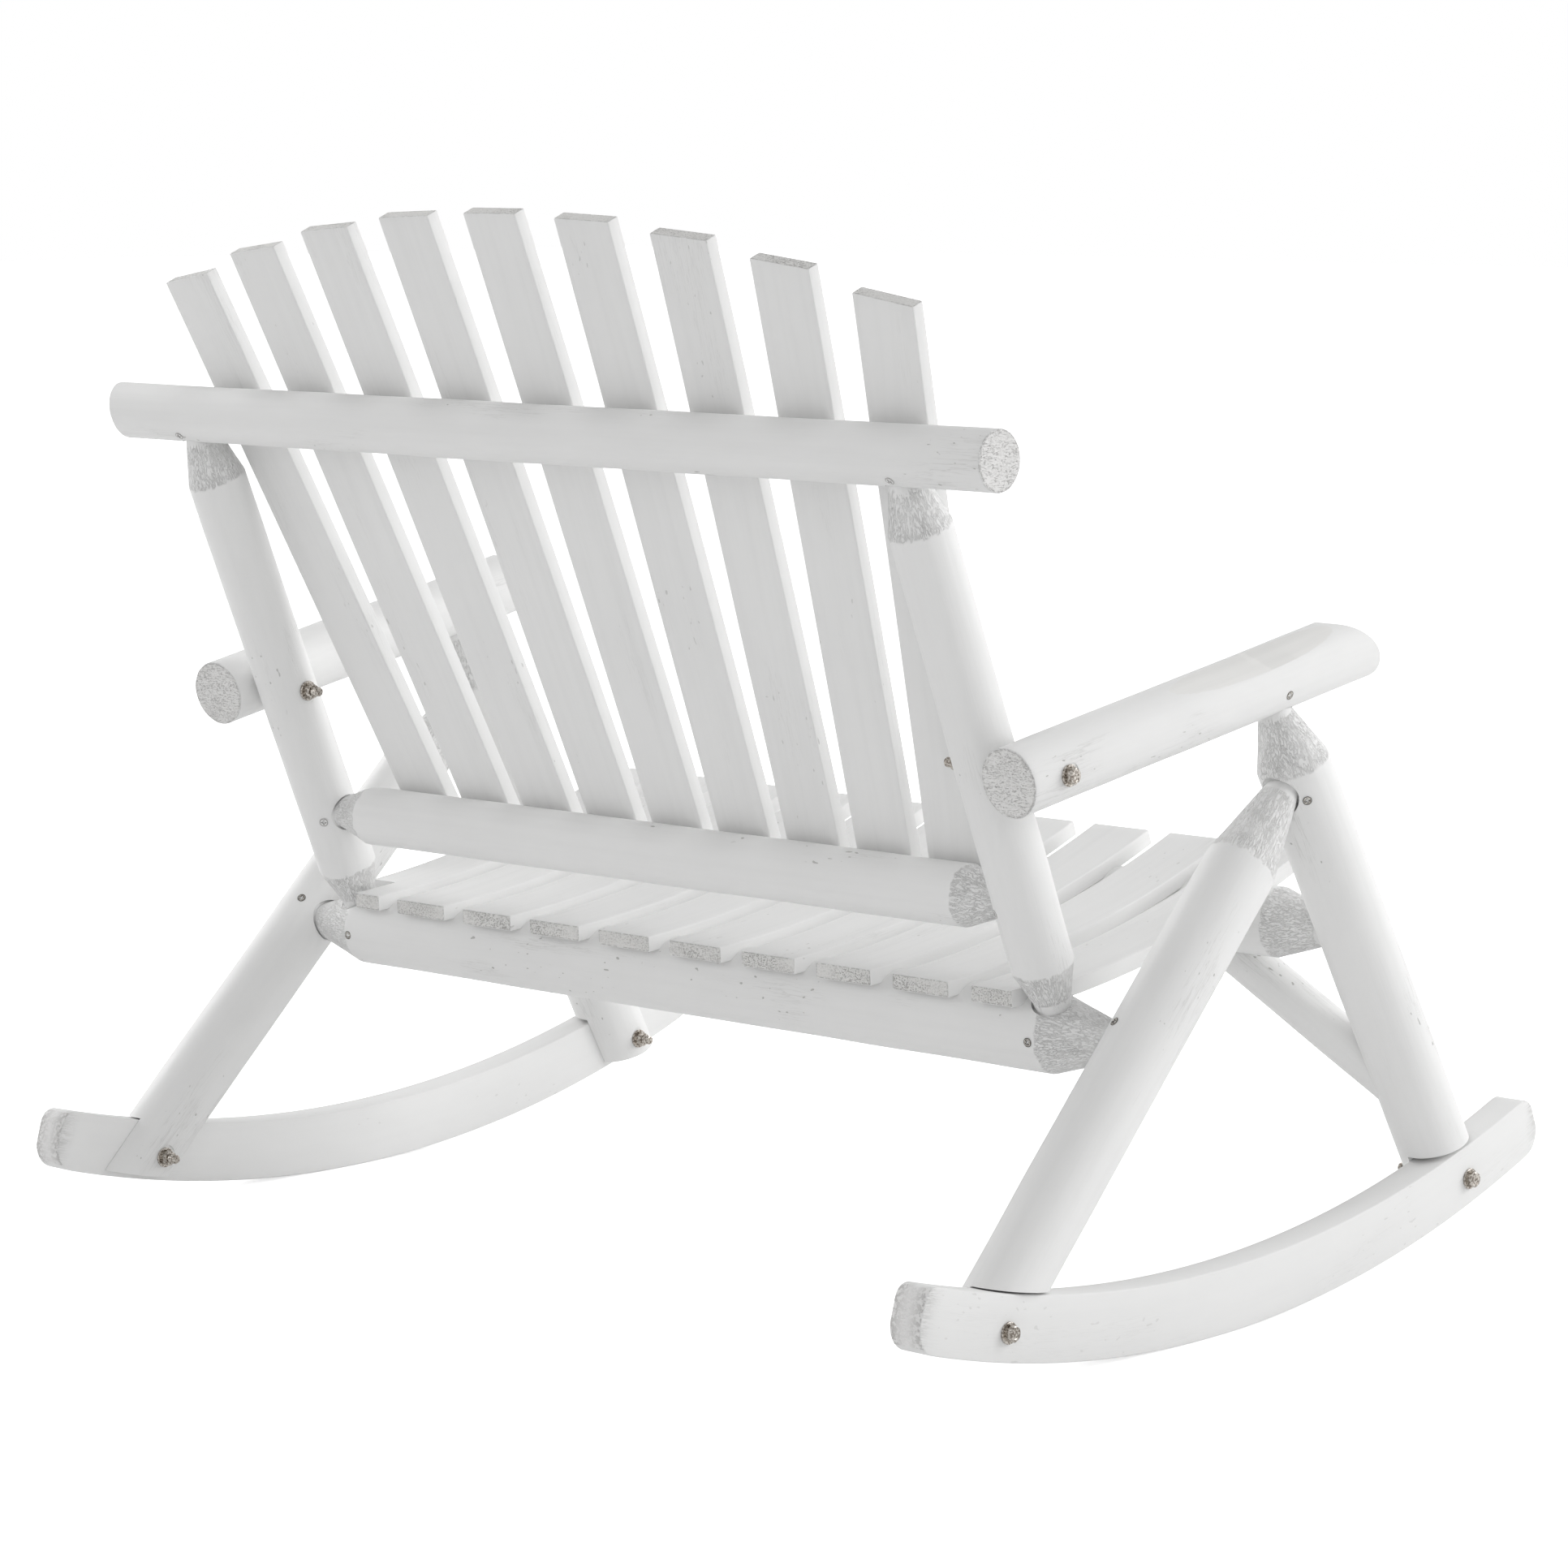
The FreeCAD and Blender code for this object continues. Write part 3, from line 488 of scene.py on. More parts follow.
def build_leg(name, side, seed, axis, sizes, foot, mouths, bolt, looks):
    """A leg, half-lapped on its runner; sizes are its radius, the cone's length and the neck's radius."""
    start, direction, length = axis
    log_r, cone, neck_r = sizes
    outline = [(0, log_r), (length - cone, log_r), (length, neck_r), (length + LEG_TENON, LEG_TENON_R)]
    cones = [(length - cone, length, log_r, neck_r)]
    log = Log(sided(start, side), sided(direction, side), outline, cones, seed)
    obj = log.build("peeled_%s_%s" % (name, SIDE_NAMES[side]))
    cutters = [shoulder_cutter(foot, side), cheek_cutter(side)]
    cutters += [mouth_cutter(sided(place, side), sided(way, side), radius) for place, way, radius in mouths]
    cutters.append(seat_cutter(bolt, side, -1))
    apply_cuts(obj, cutters)
    log.finish(obj, [name + "_" + SIDE_NAMES[side]], looks)


def build_rear_leg(side, seed, looks):
    axis = leg_axis(rear_leg_point, rear_leg_top(), FRONT_LEG_R + 1)
    mouths = [(Vector((leg_x(RAIL_Z) - REAR_LEG_R, RAIL_Y, RAIL_Z)), X_AXIS, 22.0)]
    build_leg("rear_leg", side, seed, axis, REAR_LEG_SIZES, rear_leg_point(90), mouths, 0, looks)


def build_front_leg(side, seed, looks):
    axis = leg_axis(front_leg_point, front_leg_top(), ARM_R + 1)
    foot, way, reach = leg_axis(rear_leg_point, rear_leg_top(), FRONT_LEG_R)
    rail = Vector((leg_x(SEAT_FRONT_Z) - FRONT_LEG_R, SEAT_FRONT_Y, SEAT_FRONT_Z))
    mouths = [(foot + way * reach, way, 20.5), (rail, X_AXIS, 20.0)]
    build_leg("front_leg", side, seed, axis, FRONT_LEG_SIZES, front_leg_point(120), mouths, 1, looks)


def arm_frame(side):
    forward = (arm_point(ARM_FRONT_Y) - arm_point(ARM_REAR_Y)).normalized()
    across = forward.cross(Vector((0, 0, 1))).normalized()
    up = across.cross(forward)
    return sided(forward, side), sided(across, side), sided(up, side)


def arc_points(centre, radius, first, last, steps):
    """Points of an arc in (distance, height), angles in degrees."""
    around = [radians(first + (last - first) * i / steps) for i in range(steps + 1)]
    return [(centre[0] + radius * cos(turn), centre[1] + radius * sin(turn)) for turn in around]


def build_armrest(side, seed, looks):
    forward, across, up = arm_frame(side)
    origin = sided(arm_point(ARM_REAR_Y), side)
    length = (arm_point(ARM_FRONT_Y) - arm_point(ARM_REAR_Y)).length + 3
    log = Log(origin, forward, [(0, ARM_R), (length + 20, ARM_R)], [], seed)
    obj = log.build("peeled_armrest_" + SIDE_NAMES[side])
    nose = [(-5, 60), (-5, -60), (length - NOSE_LOW_R, -60)]
    nose += arc_points((length - NOSE_LOW_R, -ARM_R - 1 + NOSE_LOW_R), NOSE_LOW_R, -90, 0, 8)
    nose += arc_points((length - NOSE_R, -NOSE_DROP), NOSE_R, 0, 90, 24)
    nose += [(length - NOSE_R, 60)]
    outline = [origin - across * 60 + forward * s + up * h for s, h in nose]
    apply_cuts(obj, [prism(outline, across * 120)], "INTERSECT")
    tilt = Matrix.Rotation(radians(PALM_TILT) * -side, 3, forward)
    palm_up, palm_across = tilt @ up, tilt @ across
    half = PALM_LENGTH / 2
    radius = (half * half + PALM_DEPTH * PALM_DEPTH) / (2 * PALM_DEPTH)
    middle = sided(arm_point(PALM_Y), side) + palm_up * (ARM_R - PALM_DEPTH + radius)
    bends = [radians(-8 + 16 * i / 48) for i in range(49)]
    outline = [middle + (forward * sin(t) - palm_up * cos(t)) * radius - palm_across * 100 for t in bends]
    lift = palm_up * 60
    outline += [outline[-1] + lift, outline[0] + lift]
    top = front_leg_top()
    way = (top - front_leg_point(0.0)).normalized()
    mouth = top - way * ARM_R
    cutters = [
        prism(outline, palm_across * 200),
        seat_cutter(2, side, 1),
        mouth_cutter(sided(mouth, side), sided(way, side), 18.6),
    ]
    apply_cuts(obj, cutters)
    log.finish(obj, ["armrest_" + SIDE_NAMES[side]], looks)
    # The planed palm takes the third look, a slightly darker and warmer paint: partly its own planed
    # finish, partly painted shade on its upward-facing band.
    for face in obj.data.polygons:
        away = Vector(face.center) / MM - middle
        if abs(hypot(away.dot(forward), away.dot(palm_up)) - radius) < 0.1:
            face.material_index = 2


def build_post(side, seed, looks):
    low, low_base = POST_LOW_S, POST_LOW_S + POST_LOW_CONE
    top, top_base = POST_TOP_S, POST_TOP_S - POST_TOP_CONE
    outline = [
        (low - POST_TENON, POST_TENON_R), (low, POST_NECK_R), (low_base, POST_R),
        (top_base, POST_R), (top, POST_NECK_R), (top + POST_TENON, POST_TENON_R),
    ]
    cones = [(low_base, low, POST_R, POST_NECK_R), (top_base, top, POST_R, POST_NECK_R)]
    log = Log(Vector((POST_X * side, RAIL_Y, RAIL_Z)), BACK_DIR, outline, cones, seed)
    obj = log.build("peeled_back_post_" + SIDE_NAMES[side])
    rail = back_point((POST_X - 32.0) * side, LOW_RAIL_S, 0)
    apply_cuts(obj, [seat_cutter(2, side, -1), mouth_cutter(rail, X_AXIS * side, 19.2, 8)])
    log.finish(obj, ["back_post_" + SIDE_NAMES[side]], looks)


def build_top_rail(seed, looks):
    """A plain log, sawn square at its right end and aslant at its left end."""
    centre = back_point(0, BACK_LENGTH, 0)
    start = Vector((TOP_RAIL_RIGHT, centre.y, centre.z))
    log = Log(start, X_AXIS, [(0, TOP_RAIL_R), (1236, TOP_RAIL_R)], [], seed)
    obj = log.build("peeled_top_rail")
    sawn = Vector((TOP_RAIL_LEFT, centre.y, centre.z))
    square = ((-60, -60), (60, -60), (60, 60), (-60, 60))
    corners = [sawn + Vector((TOP_RAIL_SLANT_Z * z - TOP_RAIL_SLANT_Y * y, y, z)) for y, z in square]
    cutters = [prism(corners, X_AXIS * 90)]
    for side in SIDES:
        under = back_point(POST_X * side, BACK_LENGTH - 29.0, 0)
        cutters.append(mouth_cutter(under, BACK_DIR, POST_MOUTH_R, 8))
    apply_cuts(obj, cutters)
    log.finish(obj, ["top_back_rail"], looks)


def build_double_rail(name, node, y, z, log_r, cone, neck_r, shoulder, tenon_r, seed, looks):
    """A rail with a cone and a tenon at either end; the rear seat rail also takes the posts."""
    outline = [
        (-shoulder - RAIL_TENON, tenon_r), (-shoulder, neck_r), (-shoulder + cone, log_r),
        (shoulder - cone, log_r), (shoulder, neck_r), (shoulder + RAIL_TENON, tenon_r),
    ]
    cones = [(cone - shoulder, -shoulder, log_r, neck_r), (shoulder - cone, shoulder, log_r, neck_r)]
    log = Log(Vector((0, y, z)), X_AXIS, outline, cones, seed)
    obj = log.build(name)
    if node == "seat_rear_rail":
        mouths = [Vector((POST_X * side, RAIL_Y, RAIL_Z)) + BACK_DIR * 38.0 for side in SIDES]
        apply_cuts(obj, [mouth_cutter(mouth, -BACK_DIR, POST_MOUTH_R, 8) for mouth in mouths])
    log.finish(obj, [node], looks)


def build_brace(side, seed, looks):
    direction = (BRACE_TOP - BRACE_LOW).normalized()
    length = (BRACE_TOP - BRACE_LOW).length
    start = BRACE_LOW - direction * 12
    log = Log(sided(start, side), sided(direction, side), [(0, BRACE_R), (length + 12, BRACE_R)], [], seed)
    obj = log.build("peeled_brace_" + SIDE_NAMES[side])
    log.finish(obj, ["front_brace_" + SIDE_NAMES[side]], looks)


# Boards

def board_section(width, thick, ease, steps=3):
    """Rounded rectangle as (across, up), top face at up = 0 and the back at -thick."""
    corners = [
        (width / 2 - ease, -ease, 0), (-width / 2 + ease, -ease, 90),
        (-width / 2 + ease, -thick + ease, 180), (width / 2 - ease, -thick + ease, 270),
    ]
    points = []
    for x, y, first in corners:
        points.extend(arc_points((x, y), ease, first, first + 90, steps))
    filled = []
    for (x0, y0), (x1, y1) in zip(points, points[1:] + points[:1]):
        pieces = max(1, int(hypot(x1 - x0, y1 - y0) / 9))
        filled += [(x0 + (x1 - x0) * k / pieces, y0 + (y1 - y0) * k / pieces) for k in range(pieces)]
    return filled


class Board:
    """A board along a path. place(s) gives origin, across and up; find(point) gives s, across and up."""

    def __init__(self, place, find, length, width, thick, ease, seed):
        self.place = place
        self.find = find
        self.length = length
        self.section = board_section(width, thick, ease)
        self.half = (width / 2, thick / 2)
        self.seed = seed
        draw = random.Random(int(seed * 100))
        self.pith = (draw.uniform(-26, 26), draw.choice((-1, 1)) * draw.uniform(38, 90))
        self.lean = (draw.uniform(-0.03, 0.03), draw.uniform(-0.02, 0.02))

    def ring(self, s, inset):
        origin, across, up = self.place(s)
        wide, deep = self.half
        points = []
        for u, v in self.section:
            rise = v + deep
            du = 0.35 * (1 + wave(s / 170, self.seed, copysign(3, u)))
            dv = 0.25 * (1 + wave(s / 120 + 9, self.seed, copysign(3, rise)))
            u *= 1 - (inset + du) / wide
            rise *= 1 - (inset + dv) / deep
            points.append(origin + across * u + up * (rise - deep))
        return points

    def build(self, name):
        count = max(8, int(self.length / 16))
        rims = ((0, 2.4), (0, 0.8), (0.25, 0.25))
        rings = [self.ring(s, inset) for s, inset in rims]
        rings += [self.ring(0.9 + (self.length - 1.8) * i / count, 0) for i in range(count + 1)]
        rings += [self.ring(self.length - s, inset) for s, inset in rims[::-1]]
        return make_object(name, *tube(rings))

    def local(self, point):
        s, u, v = self.find(point)
        middle = s - self.length / 2
        u += self.lean[0] * middle - self.pith[0]
        v += self.lean[1] * middle - self.pith[1]
        return Vector((u, v, s + self.seed * SEED_STEP))

    def rim(self, point):
        """How worn the wood is: only along the rim of a sawn end."""
        s, u, v = self.find(point)
        at_end = s < 0.12 or s > self.length - 0.12
        beside = min(self.half[0] - abs(u), self.half[1] - abs(v + self.half[1]))
        return 1.0 if at_end and beside < 1.9 else 0.0

    def finish(self, obj, nodes, slot, looks):
        shade(obj, 40)
        paint_coordinates(obj, self.local, self.rim)
        declare(obj, nodes, looks)
        origin, across, up = self.place(0)
        first = across.cross(up)
        _, across, up = self.place(self.length)
        last = across.cross(up)
        for face in obj.data.polygons:
            normal = first if (face.center / MM - origin).length < 60 else last
            face.material_index = 1 if abs(face.normal.dot(normal)) > 0.97 else 0


def build_back_slat(number, looks):
    index = BACK_SLATS // 2 + 1 - number
    tilt = radians(BACK_SLAT_TILT * index)
    up = BACK_DIR * cos(tilt) + X_AXIS * sin(tilt)
    across = X_AXIS * cos(tilt) - BACK_DIR * sin(tilt)
    front = BACK_SLAT_FRONT + BACK_SLAT_THICK
    set_point = back_point(BACK_SLAT_PITCH * index + BACK_SLAT_SHIFT, BACK_SLAT_SET_S, front)
    below = (BACK_SLAT_SET_S - BACK_SLAT_LOW_S) / cos(tilt)
    top_s = BACK_TOP_S
    for _ in range(4):
        top_x = BACK_SLAT_PITCH * index + (top_s - BACK_SLAT_SET_S) * tan(tilt)
        top_s = BACK_TOP_S - top_x * top_x / (2 * BACK_TOP_R)
    above = (top_s - BACK_SLAT_SET_S) / cos(tilt)
    start = set_point - up * below

    def place(s):
        return start + up * s, across, BACK_NORMAL

    def find(point):
        away = point - start
        return away.dot(up), away.dot(across), away.dot(BACK_NORMAL)

    board = Board(place, find, above + below, BACK_SLAT_WIDTH, BACK_SLAT_THICK, 1.4, 30.7 + number)
    obj = board.build("slat_of_back_%d" % number)
    board.finish(obj, ["back_slat_%d" % number], "painted_boards", looks)


def seat_arc():
    chord = SEAT_FRONT - SEAT_REAR
    half = chord.length / 2
    radius = (half * half + SEAT_DISH * SEAT_DISH) / (2 * SEAT_DISH)
    normal = Vector((0, chord.z, -chord.y)).normalized()
    centre = (SEAT_REAR + SEAT_FRONT) / 2 + normal * (radius - SEAT_DISH)
    return centre, radius, 2 * asin(half / radius)


def seat_slat_x(index):
    return SEAT_SLAT_PITCH * ((SEAT_SLATS - 1) / 2 - index) + SEAT_SLAT_SHIFT


def build_seat_slat(number, looks):
    x = seat_slat_x(number - 1)
    centre, radius, sweep = seat_arc()
    spoke = (SEAT_REAR - centre).normalized()

    def place(s):
        down = Matrix.Rotation(-s / radius, 3, "X") @ spoke
        return Vector((x, 0, 0)) + centre + down * radius, X_AXIS, -down

    def find(point):
        away = Vector((0, point.y, point.z)) - centre
        turn = -atan2(spoke.cross(away).x, spoke.dot(away))
        return turn * radius, point.x - x, radius - away.length

    board = Board(place, find, sweep * radius, SEAT_SLAT_WIDTH, SEAT_SLAT_THICK, 1.6, 60.3 + number)
    obj = board.build("slat_of_seat_%d" % number)
    if number in (1, SEAT_SLATS):
        side = LEFT if number == 1 else RIGHT
        notch = ((POST_NOTCH_Y, 200), (300, 200), (300, 500), (POST_NOTCH_Y, 500))
        corners = [Vector((POST_NOTCH_X * side, y, z)) for y, z in notch]
        apply_cuts(obj, [prism(corners, X_AXIS * (120 * side))])
    board.finish(obj, ["seat_slat_%d" % number], "painted_boards", looks)


def through_three(points):
    """Centre and radius of the circle through three (y, z) points."""
    (ax, ay), (bx, by), (cx, cy) = points
    d = 2 * (ax * (by - cy) + bx * (cy - ay) + cx * (ay - by))
    a2, b2, c2 = ax * ax + ay * ay, bx * bx + by * by, cx * cx + cy * cy
    x = (a2 * (by - cy) + b2 * (cy - ay) + c2 * (ay - by)) / d
    y = (a2 * (cx - bx) + b2 * (ax - cx) + c2 * (bx - ax)) / d
    return Vector((0, x, y)), hypot(ax - x, ay - y)


def runner_loop(inset):
    """Closed outline of a runner moved inwards by inset, as (distance along its arc, rise) pairs."""
    front, rear = runner_angle(RUNNER_FRONT_Y), runner_angle(RUNNER_REAR_Y)
    tops = [runner_point(a, h) for a, h in zip((front, (front + rear) / 2, rear), RUNNER_HEIGHTS)]
    centre, top_r = through_three([(v.y, v.z) for v in tops])

    def rise_of_top(angle):
        guess = RUNNER_HEIGHTS[1]
        for _ in range(6):
            away = runner_point(angle, guess) - centre
            guess -= top_r - away.length
        return guess

    def corner(along, rise, radius, turn):
        return arc_points((along, rise), radius - inset, turn, turn + 90, CORNER_STEPS)

    def between(first, last):
        return [first + (last - first) * i / RUNNER_STEPS for i in range(RUNNER_STEPS + 1)]

    low, top = RUNNER_LOW_ROUND, RUNNER_TOP_ROUND
    start, end = front * RUNNER_R, rear * RUNNER_R
    loop = [(along, inset) for along in between(start + low, end - low)]
    loop += corner(end - low, low, low, -90)[1:]
    loop += corner(end - top, rise_of_top(rear) - top, top, 0)
    upper = between(end - low, start + low)
    loop += [(along, rise_of_top(along / RUNNER_R) - inset) for along in upper]
    loop += corner(start + top, rise_of_top(front) - top, top, 90)
    loop += corner(start + low, low, low, 180)[:-1]
    return loop


def build_runner(side, seed, looks):
    """A runner in layers of (inset, x); its sides are filled between the lower and the upper edge."""
    ease = RUNNER_EASE
    layers = [(ease, 0), (ease * 0.3, ease * 0.3), (0, ease), (0, RUNNER_THICK / 2)]
    layers += [(inset, RUNNER_THICK - x) for inset, x in layers[2::-1]]
    verts, coords, faces = [], [], []
    for inset, x in layers:
        for along, rise in runner_loop(inset):
            dip = 0.25 * (1 + wave(along / 110, seed, rise / 40))
            place = runner_point(along / RUNNER_R, rise)
            depth = x + (dip if x < 1 else -dip if x > RUNNER_THICK - 1 else 0)
            verts.append(Vector(((RUNNER_IN + depth) * side, place.y, place.z)))
            coords.append(Vector((x - 70, rise - 20 + along * 0.02, along + seed * SEED_STEP)))
    count = len(verts) // len(layers)
    for k in range(len(layers) - 1):
        faces.extend(band(count, k * count))
    top_first = RUNNER_STEPS + 2 * CORNER_STEPS + 2
    top_last = top_first + RUNNER_STEPS
    for base in (0, (len(layers) - 1) * count):
        for i in range(RUNNER_STEPS):
            low, top = base + i, base + top_last - i
            faces.append((low, low + 1, top - 1, top))
        faces.append(tuple(base + k for k in range(RUNNER_STEPS, top_first + 1)))
        faces.append(tuple(base + k for k in range(top_last, count)) + (base,))
    obj = make_object("bent_runner_" + SIDE_NAMES[side], verts, faces)
    store = iter(coords)
    ends = [runner_angle(RUNNER_FRONT_Y) * RUNNER_R, runner_angle(RUNNER_REAR_Y) * RUNNER_R]

    def along_of(point):
        return atan2(point.y - RUNNER_LOW_Y, RUNNER_R - point.z) * RUNNER_R

    def chipped(point):
        beside = min(abs(abs(point.x) - RUNNER_IN), abs(abs(point.x) - RUNNER_IN - RUNNER_THICK))
        near_end = min(abs(along_of(point) - end) for end in ends)
        return 1.0 if beside < 2.2 and near_end < 12.0 else 0.0

    paint_coordinates(obj, lambda point: next(store), chipped)
    shade(obj, 40)
    declare(obj, ["runner_" + SIDE_NAMES[side]], looks)
    for face in obj.data.polygons:
        angle = along_of(face.center / MM) / RUNNER_R
        tangent = Vector((0, cos(angle), sin(angle)))
        face.material_index = 1 if abs(face.normal.dot(tangent)) > 0.5 else 0


# Materials

class Nodes:
    """Short calls for building the nodes of a material or a world."""

    def __init__(self, name, kind="materials"):
        self.owner = getattr(bpy.data, kind).new(name)
        self.owner.use_nodes = True
        self.tree = self.owner.node_tree
        self.tree.nodes.clear()

    def add(self, kind, **settings):
        node = self.tree.nodes.new("ShaderNode" + kind)
        for key, value in settings.items():
            setattr(node, key, value)
        return node

    def put(self, socket, value):
        if hasattr(value, "is_output"):
            self.tree.links.new(value, socket)
        else:
            socket.default_value = value

    def math(self, operation, first, second=0.0, clamp=False):
        node = self.add("Math", operation=operation, use_clamp=clamp)
        self.put(node.inputs[0], first)
        self.put(node.inputs[1], second)
        return node.outputs[0]

    def spread(self, value, low, high, to_low=0.0, to_high=1.0):
        node = self.add("MapRange")
        for socket, given in zip(node.inputs, (value, low, high, to_low, to_high)):
            self.put(socket, given)
        return node.outputs[0]

    def times(self, first, second, clamp=False):
        return self.math("MULTIPLY", first, second, clamp)

    def blend(self, factor, first, second):
        node = self.add("Mix", data_type="RGBA")
        self.put(node.inputs[0], factor)
        self.put(node.inputs[6], first)
        self.put(node.inputs[7], second)
        return node.outputs[2]

    def attribute(self, name, output):
        node = self.add("Attribute", attribute_name=name)
        return node.outputs[output]

    def noise(self, vector, scale, detail=3.0, rough=0.55):
        stretch = self.add("VectorMath", operation="MULTIPLY")
        self.put(stretch.inputs[0], vector)
        self.put(stretch.inputs[1], scale)
        node = self.add("TexNoise")
        self.put(node.inputs["Vector"], stretch.outputs[0])
        self.put(node.inputs["Scale"], 1.0)
        self.put(node.inputs["Detail"], detail)
        self.put(node.inputs["Roughness"], rough)
        return node.outputs[0]

    def bump(self, height, distance):
        node = self.add("Bump")
        self.put(node.inputs["Height"], height)
        self.put(node.inputs["Distance"], distance)
        self.put(node.inputs["Strength"], 1.0)
        return node.outputs["Normal"]

    def surface(self, colour, roughness, normal, metallic=0.0, specular=0.35):
        shader = self.add("BsdfPrincipled")
        self.put(shader.inputs["Base Color"], colour)
        self.put(shader.inputs["Roughness"], roughness)
        self.put(shader.inputs["Metallic"], metallic)
        self.put(shader.inputs["Specular IOR Level"], specular)
        self.put(shader.inputs["Normal"], normal)
        self.put(self.add("OutputMaterial").inputs[0], shader.outputs[0])
        return self.owner


def creases(n, vector, scale, width):
    """Thin wandering lines: where a noise passes through its middle value."""
    away = n.math("ABSOLUTE", n.math("SUBTRACT", n.noise(vector, scale, 3.0, 0.6), 0.5))
    return n.spread(away, 0.0, width, 1.0, 0.0)


def painted_wood(name, white, streak=0.2, bump=0.00025, age=1.0):
    """White paint over peeled or planed wood: faint grain, a few cracks and dents, knife-carved cones whose
    cuts and flecks are darkened as painted shade.
    """
    n = Nodes(name)
    place = n.attribute("grain", "Vector")
    carve = n.attribute("carve", "Fac")
    streaks = n.noise(place, (110, 110, 3.2), 4.0, 0.55)
    fibres = n.noise(place, (560, 560, 16), 3.0, 0.6)
    cloud = n.noise(place, (11, 11, 5), 3.0)
    uneven = n.noise(place, (26, 26, 9), 2.0)
    dull = n.times(n.spread(streaks, 0.45, 0.75), streak)
    dull = n.math("ADD", dull, n.times(n.spread(cloud, 0.4, 0.75), 0.3))
    colour = n.blend(dull, white, tuple(value * 0.9 for value in white[:3]) + (1,))
    rare = n.spread(n.noise(place, (18, 18, 5), 2.0), 0.58, 0.68)
    cracks = n.times(creases(n, place, (260, 260, 14), 0.03), rare, clamp=True)
    few = n.spread(n.noise(place, (13, 13, 5), 1.0), 0.6, 0.62)
    dents = n.times(n.spread(n.noise(place, (260, 260, 130), 0.0), 0.79, 0.82), few)
    marks = n.times(n.math("MAXIMUM", n.times(cracks, 0.35), dents), age)
    colour = n.blend(n.times(marks, 0.5), colour, (0.22, 0.21, 0.19, 1))
    # Carved cones: knife cuts and flecks darken the colour as painted shade in the cuts, on top of their
    # bump; the same mask along the rims of sawn ends darkens chipped paint.
    cuts = creases(n, place, (430, 430, 36), 0.065)
    fleck_shade = n.spread(n.noise(place, (700, 700, 200), 2.0, 0.6), 0.56, 0.66)
    strong = n.spread(n.noise(place, (70, 70, 35), 2.0), 0.3, 0.7, 0.55, 1.0)
    knife = n.math("ADD", n.times(cuts, 0.7), n.times(fleck_shade, 0.25), clamp=True)
    knife = n.times(knife, n.times(strong, carve))
    colour = n.blend(n.times(knife, 0.36), colour, (0.24, 0.23, 0.21, 1))
    height = n.math("ADD", n.times(streaks, 0.5), n.times(fibres, 0.35))
    height = n.math("ADD", height, n.times(uneven, 2.0))
    height = n.math("SUBTRACT", height, n.times(marks, 1.2))
    height = n.math("SUBTRACT", height, n.times(knife, 3.2))
    roughness = n.spread(cloud, 0.3, 0.75, 0.5, 0.64)
    return n.surface(colour, roughness, n.bump(height, bump))


def sawn_end(name, white, rows, cells, depth=0.55):
    """Sawn end under thin paint: wandering saw lines, open cells of the wood and a chipped rim."""
    n = Nodes(name)
    place = n.attribute("grain", "Vector")
    rim = n.attribute("carve", "Fac")
    lines = creases(n, place, (95, 420, 60), 0.05)
    broken = n.spread(n.noise(place, (420, 520, 40), 3.0, 0.7), 0.42, 0.6)
    dashes = n.times(n.times(lines, broken), rows)
    open_cells = n.spread(n.noise(place, (520, 640, 60), 3.0, 0.65), 0.52, 0.62)
    patches = n.spread(n.noise(place, (18, 24, 8), 2.0), 0.4, 0.62, 0.25, 1.1)
    specks = n.times(n.times(open_cells, patches), cells)
    dark = n.math("ADD", dashes, specks, clamp=True)
    chips = n.spread(n.noise(place, (240, 240, 140), 3.0), 0.46, 0.54)
    dark = n.math("MAXIMUM", dark, n.times(rim, chips))
    colour = n.blend(n.times(dark, depth), white, (0.16, 0.15, 0.14, 1))
    normal = n.bump(n.times(dark, -1.0), 0.0005)
    return n.surface(colour, n.spread(patches, 0.0, 1.0, 0.66, 0.8), normal)


def metal(name, colour, dirt, rough):
    n = Nodes(name)
    place = n.add("TexCoord").outputs["Object"]
    cloud = n.spread(n.noise(place, (420, 420, 420), 4.0), 0.42, 0.6)
    scratch = n.noise(place, (3000, 800, 800), 2.0)
    mixed = n.blend(cloud, colour, dirt)
    roughness = n.spread(scratch, 0.3, 0.7, rough - 0.1, rough + 0.15)
    normal = n.bump(scratch, 0.00008)
    return n.surface(mixed, roughness, normal, metallic=1.0, specular=0.5)


def painted_metal(name, colour):
    n = Nodes(name)
    place = n.add("TexCoord").outputs["Object"]
    cloud = n.spread(n.noise(place, (600, 600, 600), 4.0), 0.4, 0.7)
    mixed = n.blend(n.times(cloud, 0.5), colour, (0.55, 0.54, 0.52, 1))
    normal = n.bump(cloud, 0.0001)
    return n.surface(mixed, n.spread(cloud, 0.0, 1.0, 0.4, 0.6), normal)


# Metal pieces

